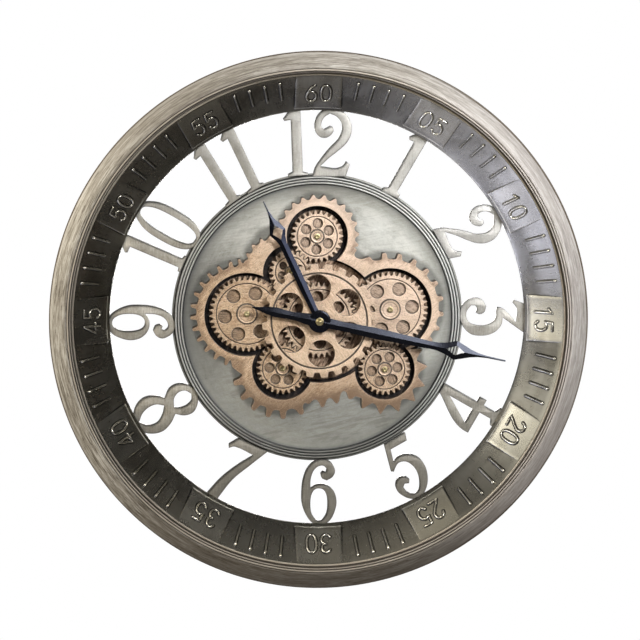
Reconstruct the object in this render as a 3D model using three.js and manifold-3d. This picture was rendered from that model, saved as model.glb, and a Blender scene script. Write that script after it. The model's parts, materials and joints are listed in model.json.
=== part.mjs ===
// Round wall clock with an open dial and a train of turning gears. Millimetres, +Z up, the face looks along -Y.
// Every piece is drawn in the dial's own frame, x right, y up and z towards the viewer, with z = 0 on the wall.
import * as THREE from "three";
import { mergeVertices } from "three/addons/utils/BufferGeometryUtils.js";
import Module from "manifold-3d";

const wasm = await Module();
wasm.setup();

// ---- driving dimensions ----
const HOOK_R = 241; // height of the hook's bearing flat above the dial's axis
const HOOK_Z = 3.2; // middle of the hanger plate, from the wall
const RIM = { rOut: 272.5, rBack: 265, zBack: 2, zCrown: 70.6, rIn: 249 };
const BAND = { rOut: 250.7, zOut: 61.2, rIn: 211.6, zIn: 22.6, panelW: 47.4 };
const NUM = { z0: 15.0, z1: 20.0, px: 1.027, tabR: 148.6, tabZ: 17.9 };
const PAN = { rOut: 148.2, rStep: 143.4, rFloor: 136, zFlange: 17.7, zRidge: 23.4, zFloor: 20.0, t: 1.4 };
const PLATE = { z0: 36.0, z1: 38.5 };
const BEZEL = { z0: 38.8, z1: 48.5, px: 1.0165 };
const GEAR = { m: 1.83, z0: 40, z1: 45, zBoss: 46.5, zRecess: 41.6 };
const TEETH = { centre: 40, left: 40, right: 40, top: 27, lowleft: 27, lowright: 27, idler: 22 };
const WHEEL = { rTip: 58, rRoot: 52.9, teeth: 24, z0: 50.6, z1: 54.6, holeR: 13.8, holeAt: 33.5 };
const DRIVE = { m: 1.625, wheel: 24, pinion: 8, z0: 24.2, z1: 27.2 };
const MOTION = { mA: 0.75, cannon: 8, inter: 24, mB: 0.6, interPinion: 8, hour: 32, dist: 12 };
const HAND = { px: 1.01, hour: [57, 58.8], minute: [61, 62.8], hourAt: 335.0, minuteAt: 102.3 };
const CASE = { x: 46, y0: -78, y1: 46, z0: 2.4, z1: 18.3, wall: 1.8, front: 1.3 };
const COVER = { z0: 0.6, z1: 2.1 };
const CELL = { r: 7.1, len: 49, z: 9.6, y: [-49.6, -65.2] };
const PIN_R = 2.5;
const ROUND = 48; // sides of the large rings

// gear centres: each one lies on its mate's pitch distance
const pitch = (a, b) => (GEAR.m * (TEETH[a] + TEETH[b])) / 2;
const toward = (from, dir, dist) => {
  const l = Math.hypot(dir[0], dir[1]);
  return [from[0] + (dir[0] / l) * dist, from[1] + (dir[1] / l) * dist];
};
const AT = { centre: [0, 0] };
AT.left = toward(AT.centre, [-74.7, 6.8], pitch("centre", "left"));
AT.right = toward(AT.centre, [72.2, 10.4], pitch("centre", "right"));
AT.lowleft = toward(AT.centre, [-37.6, -50.1], pitch("centre", "lowleft"));
AT.idler = toward(AT.centre, [-28.5, 49.0], pitch("centre", "idler"));
AT.top = toward(AT.idler, [27.0, 36.1], pitch("idler", "top"));
AT.lowright = toward(AT.right, [-5.6, -62.0], pitch("right", "lowright"));
const PINION_AT = [0, (-DRIVE.m * (DRIVE.wheel + DRIVE.pinion)) / 2];
const INTER_AT = [0, MOTION.dist];
const PILLARS = [[-52, 30], [52, 36], [54, -30], [-54, -30]];

// ---- helpers ----
const clock = (deg, r, c = [0, 0]) => {
  const a = (deg * Math.PI) / 180;
  return [c[0] + r * Math.sin(a), c[1] + r * Math.cos(a)];
};
const v2 = (pts) => pts.map((p) => new THREE.Vector2(p[0], p[1]));
function ring(c, r, n, turn = 0) {
  const out = [];
  for (let i = 0; i < n; i++) {
    const a = turn + (i / n) * 2 * Math.PI;
    out.push([c[0] + r * Math.cos(a), c[1] + r * Math.sin(a)]);
  }
  return out;
}
function ext(pts, holes, z0, z1) {
  const s = new THREE.Shape(v2(pts));
  for (const h of holes) s.holes.push(new THREE.Path(v2(h)));
  const g = new THREE.ExtrudeGeometry(s, { depth: z1 - z0, bevelEnabled: false, curveSegments: 1 });
  return g.translate(0, 0, z0);
}
function lat(profile, seg, at = [0, 0]) {
  const g = new THREE.LatheGeometry(v2(profile), seg);
  return g.rotateX(Math.PI / 2).translate(at[0], at[1], 0);
}
function box(x0, x1, y0, y1, z0, z1) {
  return new THREE.BoxGeometry(x1 - x0, y1 - y0, z1 - z0).translate((x0 + x1) / 2, (y0 + y1) / 2, (z0 + z1) / 2);
}
const cyl = (at, r, z0, z1, n) => ext(ring(at, r, n), [], z0, z1);
function solid(g) {
  const b = (g.index ? g.toNonIndexed() : g).clone();
  for (const k of Object.keys(b.attributes)) if (k !== "position") b.deleteAttribute(k);
  const w = mergeVertices(b, 1e-4);
  const s = new wasm.Manifold(
    new wasm.Mesh({ numProp: 3, vertProperties: w.attributes.position.array, triVerts: new Uint32Array(w.index.array) }),
  );
  if (s.volume() > 0) return s;
  const t = new Uint32Array(w.index.array);
  for (let i = 0; i < t.length; i += 3) [t[i + 1], t[i + 2]] = [t[i + 2], t[i + 1]];
  return new wasm.Manifold(new wasm.Mesh({ numProp: 3, vertProperties: w.attributes.position.array, triVerts: t }));
}
function back(s) {
  const m = s.getMesh();
  const g = new THREE.BufferGeometry();
  const n = m.numProp;
  const pos = new Float32Array((m.vertProperties.length / n) * 3);
  for (let i = 0; i < pos.length / 3; i++) for (let k = 0; k < 3; k++) pos[3 * i + k] = m.vertProperties[n * i + k];
  g.setAttribute("position", new THREE.BufferAttribute(pos, 3));
  g.setIndex(new THREE.BufferAttribute(new Uint32Array(m.triVerts), 1));
  const flat = g.toNonIndexed();
  flat.computeVertexNormals();
  return flat;
}
const join = (...gs) => back(gs.map(solid).reduce((a, b) => a.add(b)));
const cut = (g, ...tools) => back(tools.map(solid).reduce((a, b) => a.subtract(b), solid(g)));

const part = new THREE.Group();
part.name = "skeleton_wall_clock";
const dial = new THREE.Group();
dial.rotation.x = Math.PI / 2;
dial.position.set(0, HOOK_Z, -HOOK_R);
part.add(dial);

const FINISH = {
  rim: [0x9d9284, 0.6, 0.0],
  band: [0x5d5c5b, 0.4, 0.85],
  pewter: [0xa9aaa6, 0.45, 0.8],
  pan: [0x9fa29d, 0.5, 0.75],
  bronze: [0xc2a07f, 0.5, 0.35],
  floor: [0x1f1c1a, 0.7, 0.2],
  brass: [0xcdb468, 0.3, 0.95],
  hand: [0x1a1c24, 0.35, 0.4],
  steel: [0x9a9da1, 0.35, 0.95],
  plastic: [0x1c1c1d, 0.55, 0.0],
  nylon: [0xe6e2d6, 0.5, 0.0],
  board: [0x2f6b3f, 0.6, 0.0],
  cell: [0x3b5f86, 0.4, 0.2],
  pad: [0x2a2a2a, 0.9, 0.0],
};
function add(name, geo, finish) {
  const f = FINISH[finish];
  const m = new THREE.Mesh(geo, new THREE.MeshStandardMaterial({ color: f[0], roughness: f[1], metalness: f[2] }));
  m.name = name;
  dial.add(m);
}

// ---- outer rim: a crowned ring, hollow and open towards the wall ----
add(
  "outer_rim",
  back(
    solid(
      lat(
        [
          [RIM.rBack, RIM.zBack], [RIM.rOut, 60], [RIM.rOut - 1.2, 66.5], [266.5, RIM.zCrown], [258.5, 70], [255, 67],
          [252, 61.5], [251, 61.5], [251, 58.1], [RIM.rIn, 58.1], [RIM.rIn, RIM.zBack], [252, RIM.zBack],
          [252, 57], [258.5, 66.8], [266, 67.2], [269.3, 60], [262, RIM.zBack], [RIM.rBack, RIM.zBack],
        ],
        ROUND,
      ),
    ),
  ),
  "rim",
);

// ---- minute band: a sloped sheet with twelve raised panels ----
{
  const sheet = lat(
    [
      [BAND.rOut, 58.4], [BAND.rOut, BAND.zOut], [249.2, BAND.zOut], [BAND.rIn, BAND.zIn],
      [BAND.rIn, 20.4], [221, 20.4], [221, 22.0], [213.3, 22.0], [249.0, 58.4], [BAND.rOut, 58.4],
    ],
    ROUND,
  );
  const wedge = lat([[247.6, 59.2], [247.0, 57.0], [215.2, 24.7], [214.4, 30.0], [247.6, 59.2]], ROUND);
  let bars = null;
  for (let i = 0; i < 6; i++) {
    const b = solid(box(-BAND.panelW / 2, BAND.panelW / 2, -300, 300, 10, 70).rotateZ((i * Math.PI) / 6));
    bars = bars ? bars.add(b) : b;
  }
  add("minute_band", back(solid(sheet).add(solid(wedge).intersect(bars))), "band");
}

// ---- hour numerals: [across, out] figures; the first group stands with its tops outwards, the second with its tops inwards ----
const TWO = [
  [-5, 142.5], [28, 142], [32, 152], [28.5, 155.5], [25, 150.5], [22, 149.2], [3, 150.5], [12, 159], [21, 166], [28.5, 173],
  [33, 181], [34, 189], [31, 198], [22.5, 204.5], [12, 206], [3, 203], [-2, 196.5], [-3, 190], [-1.5, 184], [3, 179.3],
  [8, 178.5], [13.5, 181.5], [16, 186], [15, 189.5], [12.5, 190.5], [9.5, 188.6], [6.5, 187.2], [4, 189.5], [4.2, 194],
  [7, 199], [12.5, 201.8], [19, 199.5], [23.5, 194], [24.5, 189], [21.5, 179], [12, 168.5], [3, 157.5], [-2.5, 149],
];
const SIX = [
  [4, 143.6], [-3, 145], [-10, 150.5], [-14, 160], [-16, 175], [-15.5, 187], [-12, 197], [-5, 204.3], [2.5, 206.3], [11, 203.6],
  [17.3, 194.5], [19, 183], [16, 174], [10, 168.5], [3, 166.6], [-3, 168], [-7.2, 171], [-6.3, 160], [-3, 152.5], [1, 149.2],
  [6, 148.6], [9.3, 151.6], [8.4, 154.8], [5, 153.6], [3, 156.5], [4.4, 161], [9.3, 163.4], [15, 160], [17.6, 154], [16, 149], [11.5, 145],
];
const full = (v, power) => Math.sign(v) * Math.abs(v) ** (2 / power);
const oval = (cx, cr, a, b, n, power = 2) => ring([0, 0], 1, n).map((p) => [cx + a * full(p[0], power), cr + b * full(p[1], power)]);
const FIGURES = [
  ["numeral_12_one", 0, [[-29, 140], [-9, 141.5], [-9.3, 143.8], [-14.2, 145.2], [-17, 205.5], [-27, 204], [-34, 197.4], [-32.6, 195.2], [-26.3, 196.5], [-24.6, 145], [-29.2, 142.8]], []],
  ["numeral_12_two", 0, TWO, []],
  ["numeral_1", 30, [[-8.2, 142.8], [10.2, 144.2], [10, 146.8], [6.2, 148], [6.6, 206], [-3.6, 206], [-10.5, 201], [-9.3, 198.4], [-4, 199], [-3.6, 147.6], [-8.2, 145.8]], []],
  ["numeral_2", 60, TWO.map((p) => [p[0] - 13, p[1] + (2 * (206 - p[1])) / 64]), []],
  ["numeral_3", 90, [
    [-12, 206], [18, 206], [1, 185], [7, 184], [12, 181], [17, 174], [19, 163], [17, 152.5], [10, 146.4], [0, 144], [-10, 145],
    [-16.5, 149.5], [-19, 157], [-17, 164], [-10.5, 168.3], [-4.5, 166.3], [-2.5, 161.5], [-4.2, 158], [-8, 159.3], [-11.4, 157.5],
    [-11.5, 153.5], [-6.5, 149.4], [0, 148.5], [5.5, 151.5], [8.7, 160], [8.3, 168.5], [4.8, 175.5], [0, 178.3], [-5, 178.3],
    [-9.4, 179.3], [-9.2, 181.4], [5.5, 198.3], [-9.5, 198.5], [-14, 194.8], [-16.6, 196],
  ], []],
  ["numeral_9", 270, SIX.map((p) => [-p[0] - 2.5, p[1]]), [oval(-4, 187, 8.6, 15.6, 12, 2.4)]],
  ["numeral_10_one", 300, [[-28.6, 141], [-11.6, 142.8], [-11.8, 145], [-15.6, 146], [-22.3, 206], [-31.6, 204.2], [-38.4, 198], [-37.2, 195.8], [-31, 196.4], [-25, 144.6], [-28.8, 143.4]], []],
  ["numeral_10_zero", 300, oval(6.5, 173.5, 16.8, 33, 24, 2.35), [oval(6.5, 173.7, 9.6, 30, 20, 2.6)]],
  ["numeral_11_left", 330, [[-23, 140], [-5, 141.8], [-5.2, 144.2], [-8.2, 145.4], [-10.3, 206], [-20, 204.6], [-26.8, 198.4], [-25.4, 196], [-19.8, 197.2], [-17.9, 144.6], [-23, 142.8]], []],
  ["numeral_11_right", 330, [[2, 141], [20.6, 140.5], [20.8, 143], [17.4, 144.8], [22.4, 205], [12.6, 206], [5.2, 200.6], [6.4, 198], [12, 198.4], [7.9, 145], [2.2, 143.6]], []],
  ["numeral_4", 120, [[-4, 144.5], [6, 144.5], [6, 180.5], [11.8, 180.5], [11.8, 188.6], [6, 188.6], [6, 201], [12, 203], [12, 206.5], [-8, 206.5], [-8, 203], [-2.2, 201], [-2.2, 188.6], [-25.5, 188.6], [-25.5, 182.8]], [[[-2.3, 154], [-18.3, 180.6], [-2.3, 180.6]]]],
  ["numeral_5", 150, [
    [-6, 144.8], [18.3, 144.8], [15.5, 151.8], [-3, 151.6], [-6.6, 163.6], [0, 161.2], [9.5, 164], [16.5, 171.5], [18.6, 181], [16, 193],
    [8, 202.6], [-2, 206], [-10, 203.6], [-15.5, 198.5], [-18, 190.5], [-16, 184], [-10, 180.2], [-4.2, 182], [-1.6, 187], [-4, 190.4],
    [-8, 188.6], [-11, 191], [-10, 197], [-5, 201.6], [0.5, 200.8], [6, 194], [8.6, 185], [8, 177], [3, 169], [-3, 167.4], [-8.2, 170],
    [-11.3, 172.6], [-13.6, 171],
  ], []],
  ["numeral_6", 180, SIX, [oval(1.5, 187, 8.6, 15.6, 12, 2.4)]],
  ["numeral_7", 210, [[-8, 144.6], [24.2, 143], [15, 163], [8, 181], [3.6, 206.3], [-8.6, 206.3], [-3, 185], [4, 168], [13, 151.2], [-3, 152], [-8, 153.2], [-11.4, 156.8], [-13.8, 153.4]], []],
  ["numeral_8", 240, [
    [2.5, 143.2], [-7.5, 146], [-13.2, 153], [-13.6, 162], [-7.5, 171.3], [-14.5, 179], [-18, 190], [-14.5, 200.5], [-5, 206], [2, 206.8],
    [10, 205.6], [17.5, 200], [20.6, 190], [17.6, 178.5], [12, 170.3], [18.2, 162.5], [19.6, 154.5], [14.5, 146.8],
  ], [
    [[2.6, 147], [-3.2, 150], [-5, 155.5], [-2.5, 163], [5.5, 168], [9.2, 161], [9.6, 154.5], [7.5, 149.3]],
    [[-0.8, 175.5], [-5.8, 182], [-7, 190], [-4.4, 199], [1, 203.8], [7.4, 200], [10.2, 191], [6, 182]],
  ]],
];
for (const [name, deg, outline, holes] of FIGURES) {
  const a = (deg * Math.PI) / 180;
  const side = deg > 100 && deg < 250 ? -1 : 1;
  const place = (p) => {
    const x = side * p[0] * NUM.px;
    let r = p[1] * NUM.px;
    if (p[1] > 200) r += (2.6 * (p[1] - 200)) / 6; // outer ends run in behind the band's lip
    if (r < 152) r -= (2.6 * (152 - r)) / 5; // inner ends lap over the pan's flange
    r = Math.max(r, PAN.rStep + 0.4);
    return [x * Math.cos(a) + r * Math.sin(a), -x * Math.sin(a) + r * Math.cos(a)];
  };
  const inner = PAN.rStep + 0.3;
  const plate = ext(outline.map(place), holes.map((h) => h.map(place)), NUM.z0, NUM.z1);
  // the inner ends are thinned to a tab that lies on the pan's flange
  add(name, cut(plate, cyl([0, 0], inner, NUM.z0 - 2, NUM.z1 + 2, 96), cyl([0, 0], NUM.tabR, NUM.z0 - 2, NUM.tabZ, 96)), "pewter");
}

// ---- dial pan ----
{
  const t = PAN.t;
  const pan = lat(
    [
      [PAN.rOut, PAN.zFlange - t], [PAN.rOut, PAN.zFlange], [PAN.rStep, PAN.zFlange], [PAN.rStep - 0.5, PAN.zRidge], [138.2, PAN.zRidge],
      [PAN.rFloor, PAN.zFloor], [7, PAN.zFloor], [7, PAN.zFloor - t], [136.7, PAN.zFloor - t], [138.9, PAN.zRidge - t],
      [141.5, PAN.zRidge - t], [142.0, PAN.zFlange - t], [PAN.rOut, PAN.zFlange - t],
    ],
    ROUND,
  );
  const holes = [cyl(PINION_AT, 2.5, 10, 30, 8), ...PILLARS.map((p) => cyl(p, 2.4, 10, 30, 8))];
  add("dial_pan", cut(pan, ...holes), "pan");
}

// ---- gear bezel: arcs of teeth [centre, root, tip, half tooth at root, half tooth at tip, clock angles of the teeth], in order round the outline ----
const HUB = [319, 320.2];
const ARCS = [
  { c: [317.5, 236.5], root: 38, tip: 42, hr: 5.6, ht: 1.8, at: [-60, -45.6, -31.2, -16.8, -2.4, 12, 26.4, 40.8, 55.2, 69.6, 84, 98.4, 110] },
  { c: [390, 310], root: 49, tip: 54.6, hr: 6.6, ht: 2.6, at: [-24, -8, 10, 27, 45, 62.5, 81, 99, 117], from: -34 },
  { c: [384.5, 371], root: 35.6, tip: 42.4, hr: 11, ht: 0.8, at: [61, 84, 108, 133.5, 159, 184.5, 210, 231] },
  { c: [319, 321], root: 77.5, tip: 84.2, hr: 3.6, ht: 1.7, at: [155.5, 167, 177.4, 188] },
  { c: [282, 369.5], root: 42, tip: 49, hr: 5.6, ht: 2.7, at: [160, 179, 198.4, 217, 235.4, 254] },
  { c: [245.5, 313.5], root: 48.6, tip: 54, hr: 3.4, ht: 1.7, at: [200.6, 213.5, 226.4, 239.2, 252, 265, 277.8, 290.7, 303.5, 316.4, 329.2, 342] },
  { c: [291, 272], root: 43, tip: 46, hr: 3.8, ht: 1.6, at: [283, 293, 303, 313, 323], to: 333 },
];
const dialPx = (p) => [(p[0] - HUB[0]) * BEZEL.px, (HUB[1] - p[1]) * BEZEL.px];
function bezelOutline(inset) {
  const out = [];
  for (const a of ARCS) {
    const c = dialPx(a.c);
    const at = (deg, r) => out.push(clock(deg, r * BEZEL.px - (inset || 0), c));
    if (a.from !== undefined) at(a.from, a.root + 3);
    for (const t of a.at) {
      if (inset) {
        at(t, a.root);
        continue;
      }
      at(t - a.hr, a.root);
      at(t - a.ht, a.tip);
      if (a.ht > 1) at(t + a.ht, a.tip);
      at(t + a.hr, a.root);
    }
    if (a.to !== undefined) at(a.to, a.root);
  }
  return out;
}
const WELLS = [
  [AT.top, 31], [AT.idler, 28], [AT.left, 41.7], [AT.lowleft, 30.4], [AT.lowright, 30.4], [AT.right, 42.1], [AT.centre, 63.4],
];
add(
  "gear_bezel",
  cut(ext(bezelOutline(0), [], BEZEL.z0, BEZEL.z1), ...WELLS.map(([c, r]) => cyl(c, r, BEZEL.z0 - 2, BEZEL.z1 + 2, 30))),
  "bronze",
);

// ---- gear plate, pillars and the studs that the outer gears turn on ----
const OUTER = ["top", "idler", "left", "lowleft", "lowright", "right"];
add(
  "gear_plate",
  ext(
    bezelOutline(3.5),
    [ring(AT.centre, 9.8, 16), ...OUTER.map((k) => ring(AT[k], PIN_R + 0.4, 8)), ...PILLARS.map((p) => ring(p, 2.7, 8))],
    PLATE.z0,
    PLATE.z1,
  ),
  "floor",
);
PILLARS.forEach((p, i) =>
  add(
    "pillar_" + (i + 1),
    lat([[0, 17.2], [4, 17.2], [4, 18.3], [1.9, 18.3], [1.9, 20.2], [4.5, 20.2], [4.5, 35.8], [2.2, 35.8], [2.2, 38.9], [0, 38.9]], 8, p),
    "steel",
  ),
);
for (const k of OUTER)
  add(
    "stud_" + k,
    lat([[0, 34.4], [4, 34.4], [4, 35.7], [PIN_R, 35.7], [PIN_R, 46.8], [3.4, 46.8], [3.4, 47.8], [2.2, 48.6], [0, 48.6]], 8, AT[k]),
    "brass",
  );

// ---- gears: the six rounds in each outer gear are recesses with a thin floor ----
function gearPts(n, m, c, turn, o = {}) {
  const p = (2 * Math.PI) / n;
  const rp = (m * n) / 2;
  const rt = rp + (o.add ?? 0.95) * m;
  const rr = rp - (o.ded ?? 1.2) * m;
  const ht = (o.tip ?? 0.11) * p * (rp / rt);
  const hr = (o.root ?? 0.31) * p * (rp / rr);
  const out = [];
  for (let k = 0; k < n; k++) {
    const a = turn + k * p;
    for (const [b, r] of [[-hr, rr], [-ht, rt], [ht, rt], [hr, rr]]) out.push([c[0] + r * Math.cos(a + b), c[1] + r * Math.sin(a + b)]);
  }
  return out;
}
// the turn that puts a follower's gap on the driver's tooth, along the line between their centres
function mesh(driver, follower, turnOf) {
  const f = Math.atan2(follower.at[1] - driver.at[1], follower.at[0] - driver.at[0]);
  const t = ((f - turnOf) * driver.n) / (2 * Math.PI);
  return f + Math.PI - ((0.5 - t) * 2 * Math.PI) / follower.n;
}
const G = (k) => ({ at: AT[k], n: TEETH[k] });
const TURN = { centre: 0 };
for (const k of ["left", "right", "lowleft", "idler"]) TURN[k] = mesh(G("centre"), G(k), TURN.centre);
TURN.top = mesh(G("idler"), G("top"), TURN.idler);
TURN.lowright = mesh(G("right"), G("lowright"), TURN.right);
const rad = (d) => (d * Math.PI) / 180;
const HOLES = {
  top: [5.3, 13.2, 27, 6.4], lowleft: [5.3, 13.2, 57, 6.4], lowright: [5.3, 13.2, 8, 6.4], idler: [3.9, 9.8, 20, 5.0],
  left: [7.1, 22.4, 67, 9.7], right: [7.1, 22.4, 66, 9.7], centre: [6.1, 23.6, 33, 9],
};
const holesOf = (k) => {
  const [r, at, turn] = HOLES[k];
  return [0, 1, 2, 3, 4, 5].map((i) => ring([AT[k][0] + at * Math.cos(rad(turn + 60 * i)), AT[k][1] + at * Math.sin(rad(turn + 60 * i))], r, 8));
};
for (const k of OUTER) {
  const body = ext(gearPts(TEETH[k], GEAR.m, AT[k], TURN[k]), [ring(AT[k], PIN_R + 0.3, 10)], GEAR.z0, GEAR.z1);
  const boss = ext(ring(AT[k], HOLES[k][3], 12), [ring(AT[k], PIN_R + 0.3, 10)], GEAR.z0 + 1, GEAR.zBoss);
  add("gear_" + k, cut(join(body, boss), ...holesOf(k).map((h) => ext(h, [], GEAR.zRecess, GEAR.zBoss + 1))), "bronze");
}
// centre: the fine gear with its tube, the drive wheel behind the plate and the coarse wheel in front, all on one tube
add(
  "gear_centre",
  join(
    ext(gearPts(TEETH.centre, GEAR.m, AT.centre, 0), [ring(AT.centre, 7.6, 16), ...holesOf("centre")], GEAR.z0, GEAR.z1),
    lat([[6.3, 24], [9, 24], [9, 50.4], [7.4, 50.4], [7.4, 54.4], [6.3, 54.4], [6.3, 24]], 16),
  ),
  "bronze",
);
{
  const w = [];
  for (let i = 0; i < WHEEL.teeth; i++) {
    const a = 9.8 + (i * 360) / WHEEL.teeth;
    w.push(clock(a - 4.6, WHEEL.rRoot), clock(a - 3.4, WHEEL.rTip), clock(a + 3.4, WHEEL.rTip), clock(a + 4.6, WHEEL.rRoot));
  }
  const windows = [0, 1, 2, 3, 4, 5].map((i) => ring(clock(-3.5 + 60 * i, WHEEL.holeAt), WHEEL.holeR, 14));
  add("centre_wheel", ext(w, [ring([0, 0], 7.8, 16), ...windows], WHEEL.z0, WHEEL.z1), "bronze");
}
add("drive_wheel", ext(gearPts(DRIVE.wheel, DRIVE.m, [0, 0], 0), [ring([0, 0], 9.3, 16)], DRIVE.z0, DRIVE.z1), "nylon");
{
  const turn = mesh({ at: [0, 0], n: DRIVE.wheel }, { at: PINION_AT, n: DRIVE.pinion }, 0);
  add(
    "drive_pinion",
    join(
      ext(gearPts(DRIVE.pinion, DRIVE.m, PINION_AT, turn, { tip: 0.08, root: 0.26, add: 0.85 }), [], DRIVE.z0 - 0.3, DRIVE.z1 + 0.3),
      cyl(PINION_AT, 1.5, 9.6, DRIVE.z1 + 0.6, 8),
    ),
    "nylon",
  );
}

// ---- hands, arbors and motion work ----
function hand(hub, fore, aft, hole, bore, deg, z0, z1) {
  const k = HAND.px;
  const a = Math.asin(fore[0][1] / hub);
  const b = aft.length ? Math.PI - Math.asin(aft[0][1] / hub) : Math.PI;
  const pts = [];
  for (const p of fore) pts.push([p[0], p[1]]);
  for (const p of [...fore].reverse()) pts.push([p[0], -p[1]]);
  const n = 8;
  const arc = (s, e) => {
    for (let i = 1; i < n; i++) pts.push([hub * Math.cos(s + ((e - s) * i) / n), hub * Math.sin(s + ((e - s) * i) / n)]);
  };
  arc(-a, -b);
  for (const p of aft) pts.push([p[0], -p[1]]);
  for (const p of [...aft].reverse()) pts.push([p[0], p[1]]);
  arc(b, a);
  const r = rad(deg);
  const put = (p) => [k * (p[0] * Math.sin(r) + p[1] * Math.cos(r)), k * (p[0] * Math.cos(r) - p[1] * Math.sin(r))];
  return ext(pts.map(put), [ring([0, 0], bore, 16), hole.map(put)], z0, z1);
}
add(
  "hour_hand",
  hand(
    11.3,
    [[10.6, 3.6], [40, 4.5], [86, 3.9], [92, 5.4], [98.7, 8.6], [106, 5.6], [113, 2.4], [121, 0.9], [132.5, 0.5]],
    [],
    [[90.5, 0], [98.6, 5.4], [106.5, 0], [98.6, -5.4]],
    4.1,
    HAND.hourAt,
    ...HAND.hour,
  ),
  "hand",
);
add(
  "minute_hand",
  hand(
    11.3,
    [[10.4, 4.3], [30, 4.8], [55, 5.6], [80, 5], [115, 3.8], [122, 4.2], [130, 6], [139.5, 9.8], [148, 6.7], [155, 4], [163, 2], [172, 1.1], [191, 0.8]],
    [[-10, 5.2], [-16, 5], [-25, 3.9], [-34, 4.2], [-45, 5], [-53, 3.9], [-60, 2.2], [-69, 0.6]],
    [[130, 0], [140, 5], [148.5, 0], [140, -5]],
    2.2,
    HAND.minuteAt,
    ...HAND.minute,
  ),
  "hand",
);
add("hand_nut", lat([[0, 63.0], [4.1, 63.0], [4.1, 65.4], [2.6, 67.2], [0, 67.8]], 14), "brass");
add(
  "centre_bush",
  lat([[4.1, 15.4], [8, 15.4], [8, 16.8], [5.9, 16.8], [5.9, 20.3], [9.2, 20.3], [9.2, 23.2], [5.9, 23.2], [5.9, 50], [4.1, 50], [4.1, 15.4]], 12),
  "steel",
);
add(
  "hour_wheel",
  join(
    ext(gearPts(MOTION.hour, MOTION.mB, [0, 0], 0), [ring([0, 0], 3.1, 12)], 13.4, 14.9),
    lat([[2.2, 13.4], [3.8, 13.4], [3.8, 58.6], [2.2, 58.6], [2.2, 13.4]], 12),
  ),
  "nylon",
);
add(
  "minute_arbor",
  join(ext(gearPts(MOTION.cannon, MOTION.mA, [0, 0], 0), [], 9.6, 11.5), cyl([0, 0], 1.7, 3.2, 62.6, 10)),
  "steel",
);
{
  const big = mesh({ at: [0, 0], n: MOTION.cannon }, { at: INTER_AT, n: MOTION.inter }, 0);
  const small = mesh({ at: [0, 0], n: MOTION.hour }, { at: INTER_AT, n: MOTION.interPinion }, 0);
  add(
    "setting_wheel",
    join(
      ext(gearPts(MOTION.inter, MOTION.mA, INTER_AT, big), [], 9.8, 11.3),
      ext(gearPts(MOTION.interPinion, MOTION.mB, INTER_AT, small), [], 11.0, 15.2),
      cyl(INTER_AT, 1.1, 15.0, 16.7, 10),
    ),
    "nylon",
  );
}
add("setting_knob", lat([[0, 0.7], [6.2, 0.7], [6.2, 1.9], [2, 1.9], [2, 9.5], [0, 9.5]], 16, INTER_AT), "plastic");

// ---- movement ----
{
  const { x, y0, y1, z0, z1, wall, front } = CASE;
  add(
    "movement_case",
    cut(
      box(-x, x, y0, y1, z0, z1),
      box(-x + wall, x - wall, y0 + wall, y1 - wall, z0 - 5, z1 - front),
      cyl([0, 0], 6.3, z0, z1 + 5, 18),
      cyl(PINION_AT, 2.4, z0, z1 + 5, 12),
      box(x - 5, x + 5, -19, -9, 6, 10),
    ),
    "plastic",
  );
  const frame = [[-x, y0], [x, y0], [x, y1], [-x, y1]];
  add(
    "movement_cover",
    ext(frame, [[[-34, -73.4], [34, -73.4], [34, -41], [-34, -41]], ring(INTER_AT, 7, 18)], COVER.z0, COVER.z1),
    "plastic",
  );
  add("battery_door", box(-33.6, 33.6, -73, -41.4, COVER.z0, COVER.z1), "plastic");
  add("gear_switch", box(x - 3.5, x + 1.6, -18.6, -14.6, 6.3, 9.7), "nylon");
}
CELL.y.forEach((y, i) => {
  const g = new THREE.LatheGeometry(
    v2([[0, 0], [CELL.r, 0], [CELL.r, CELL.len], [2.7, CELL.len], [2.7, CELL.len + 1.4], [0, CELL.len + 1.4]]),
    16,
  );
  g.rotateZ((i ? 1 : -1) * Math.PI / 2).translate(i ? CELL.len / 2 : -CELL.len / 2, y, CELL.z);
  add(i ? "cell_gears" : "cell_clock", g, "cell");
});
add("gear_motor", cut(box(-13, 13, -39, -15, 4.5, 16.6), cyl(PINION_AT, 2.0, 9.2, 30, 12)), "steel");
add("stepper_motor", box(-38, -14, 8, 26, 6, 15), "steel");
add("circuit_board", box(14, 42, -6, 36, 14.4, 15.8), "board");

// ---- hanger and wall pads ----
{
  const y = HOOK_R;
  const plate = [[-20, y - 21.5], [20, y - 21.5], [20, y + 6], [-20, y + 6]];
  const entry = [];
  for (let i = 0; i <= 12; i++) {
    const a = rad(118 + (304 * i) / 12);
    entry.push([5.6 * Math.cos(a), y - 11.4 + 5.6 * Math.sin(a)]);
  }
  const slot = [[-2.6, y], ...entry, [2.6, y]];
  add("hanger_plate", join(ext(plate, [slot], 2.2, 4.2), box(-20, 20, y + 4, y + 6, 3, 16)), "steel");
}
for (const [name, deg] of [["wall_pad_left", 210], ["wall_pad_right", 150]]) {
  const g = box(-14, 14, 250, 264, 0, 1.7).rotateZ(rad(-deg));
  add(name, g, "pad");
}

export default part;
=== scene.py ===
# Round wall clock with an open dial and a train of turning gears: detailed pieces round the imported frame.
# Pieces are drawn in the dial's own frame in millimetres, x right, y up and z towards the viewer with z = 0 on the wall.
import json
import math

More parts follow.
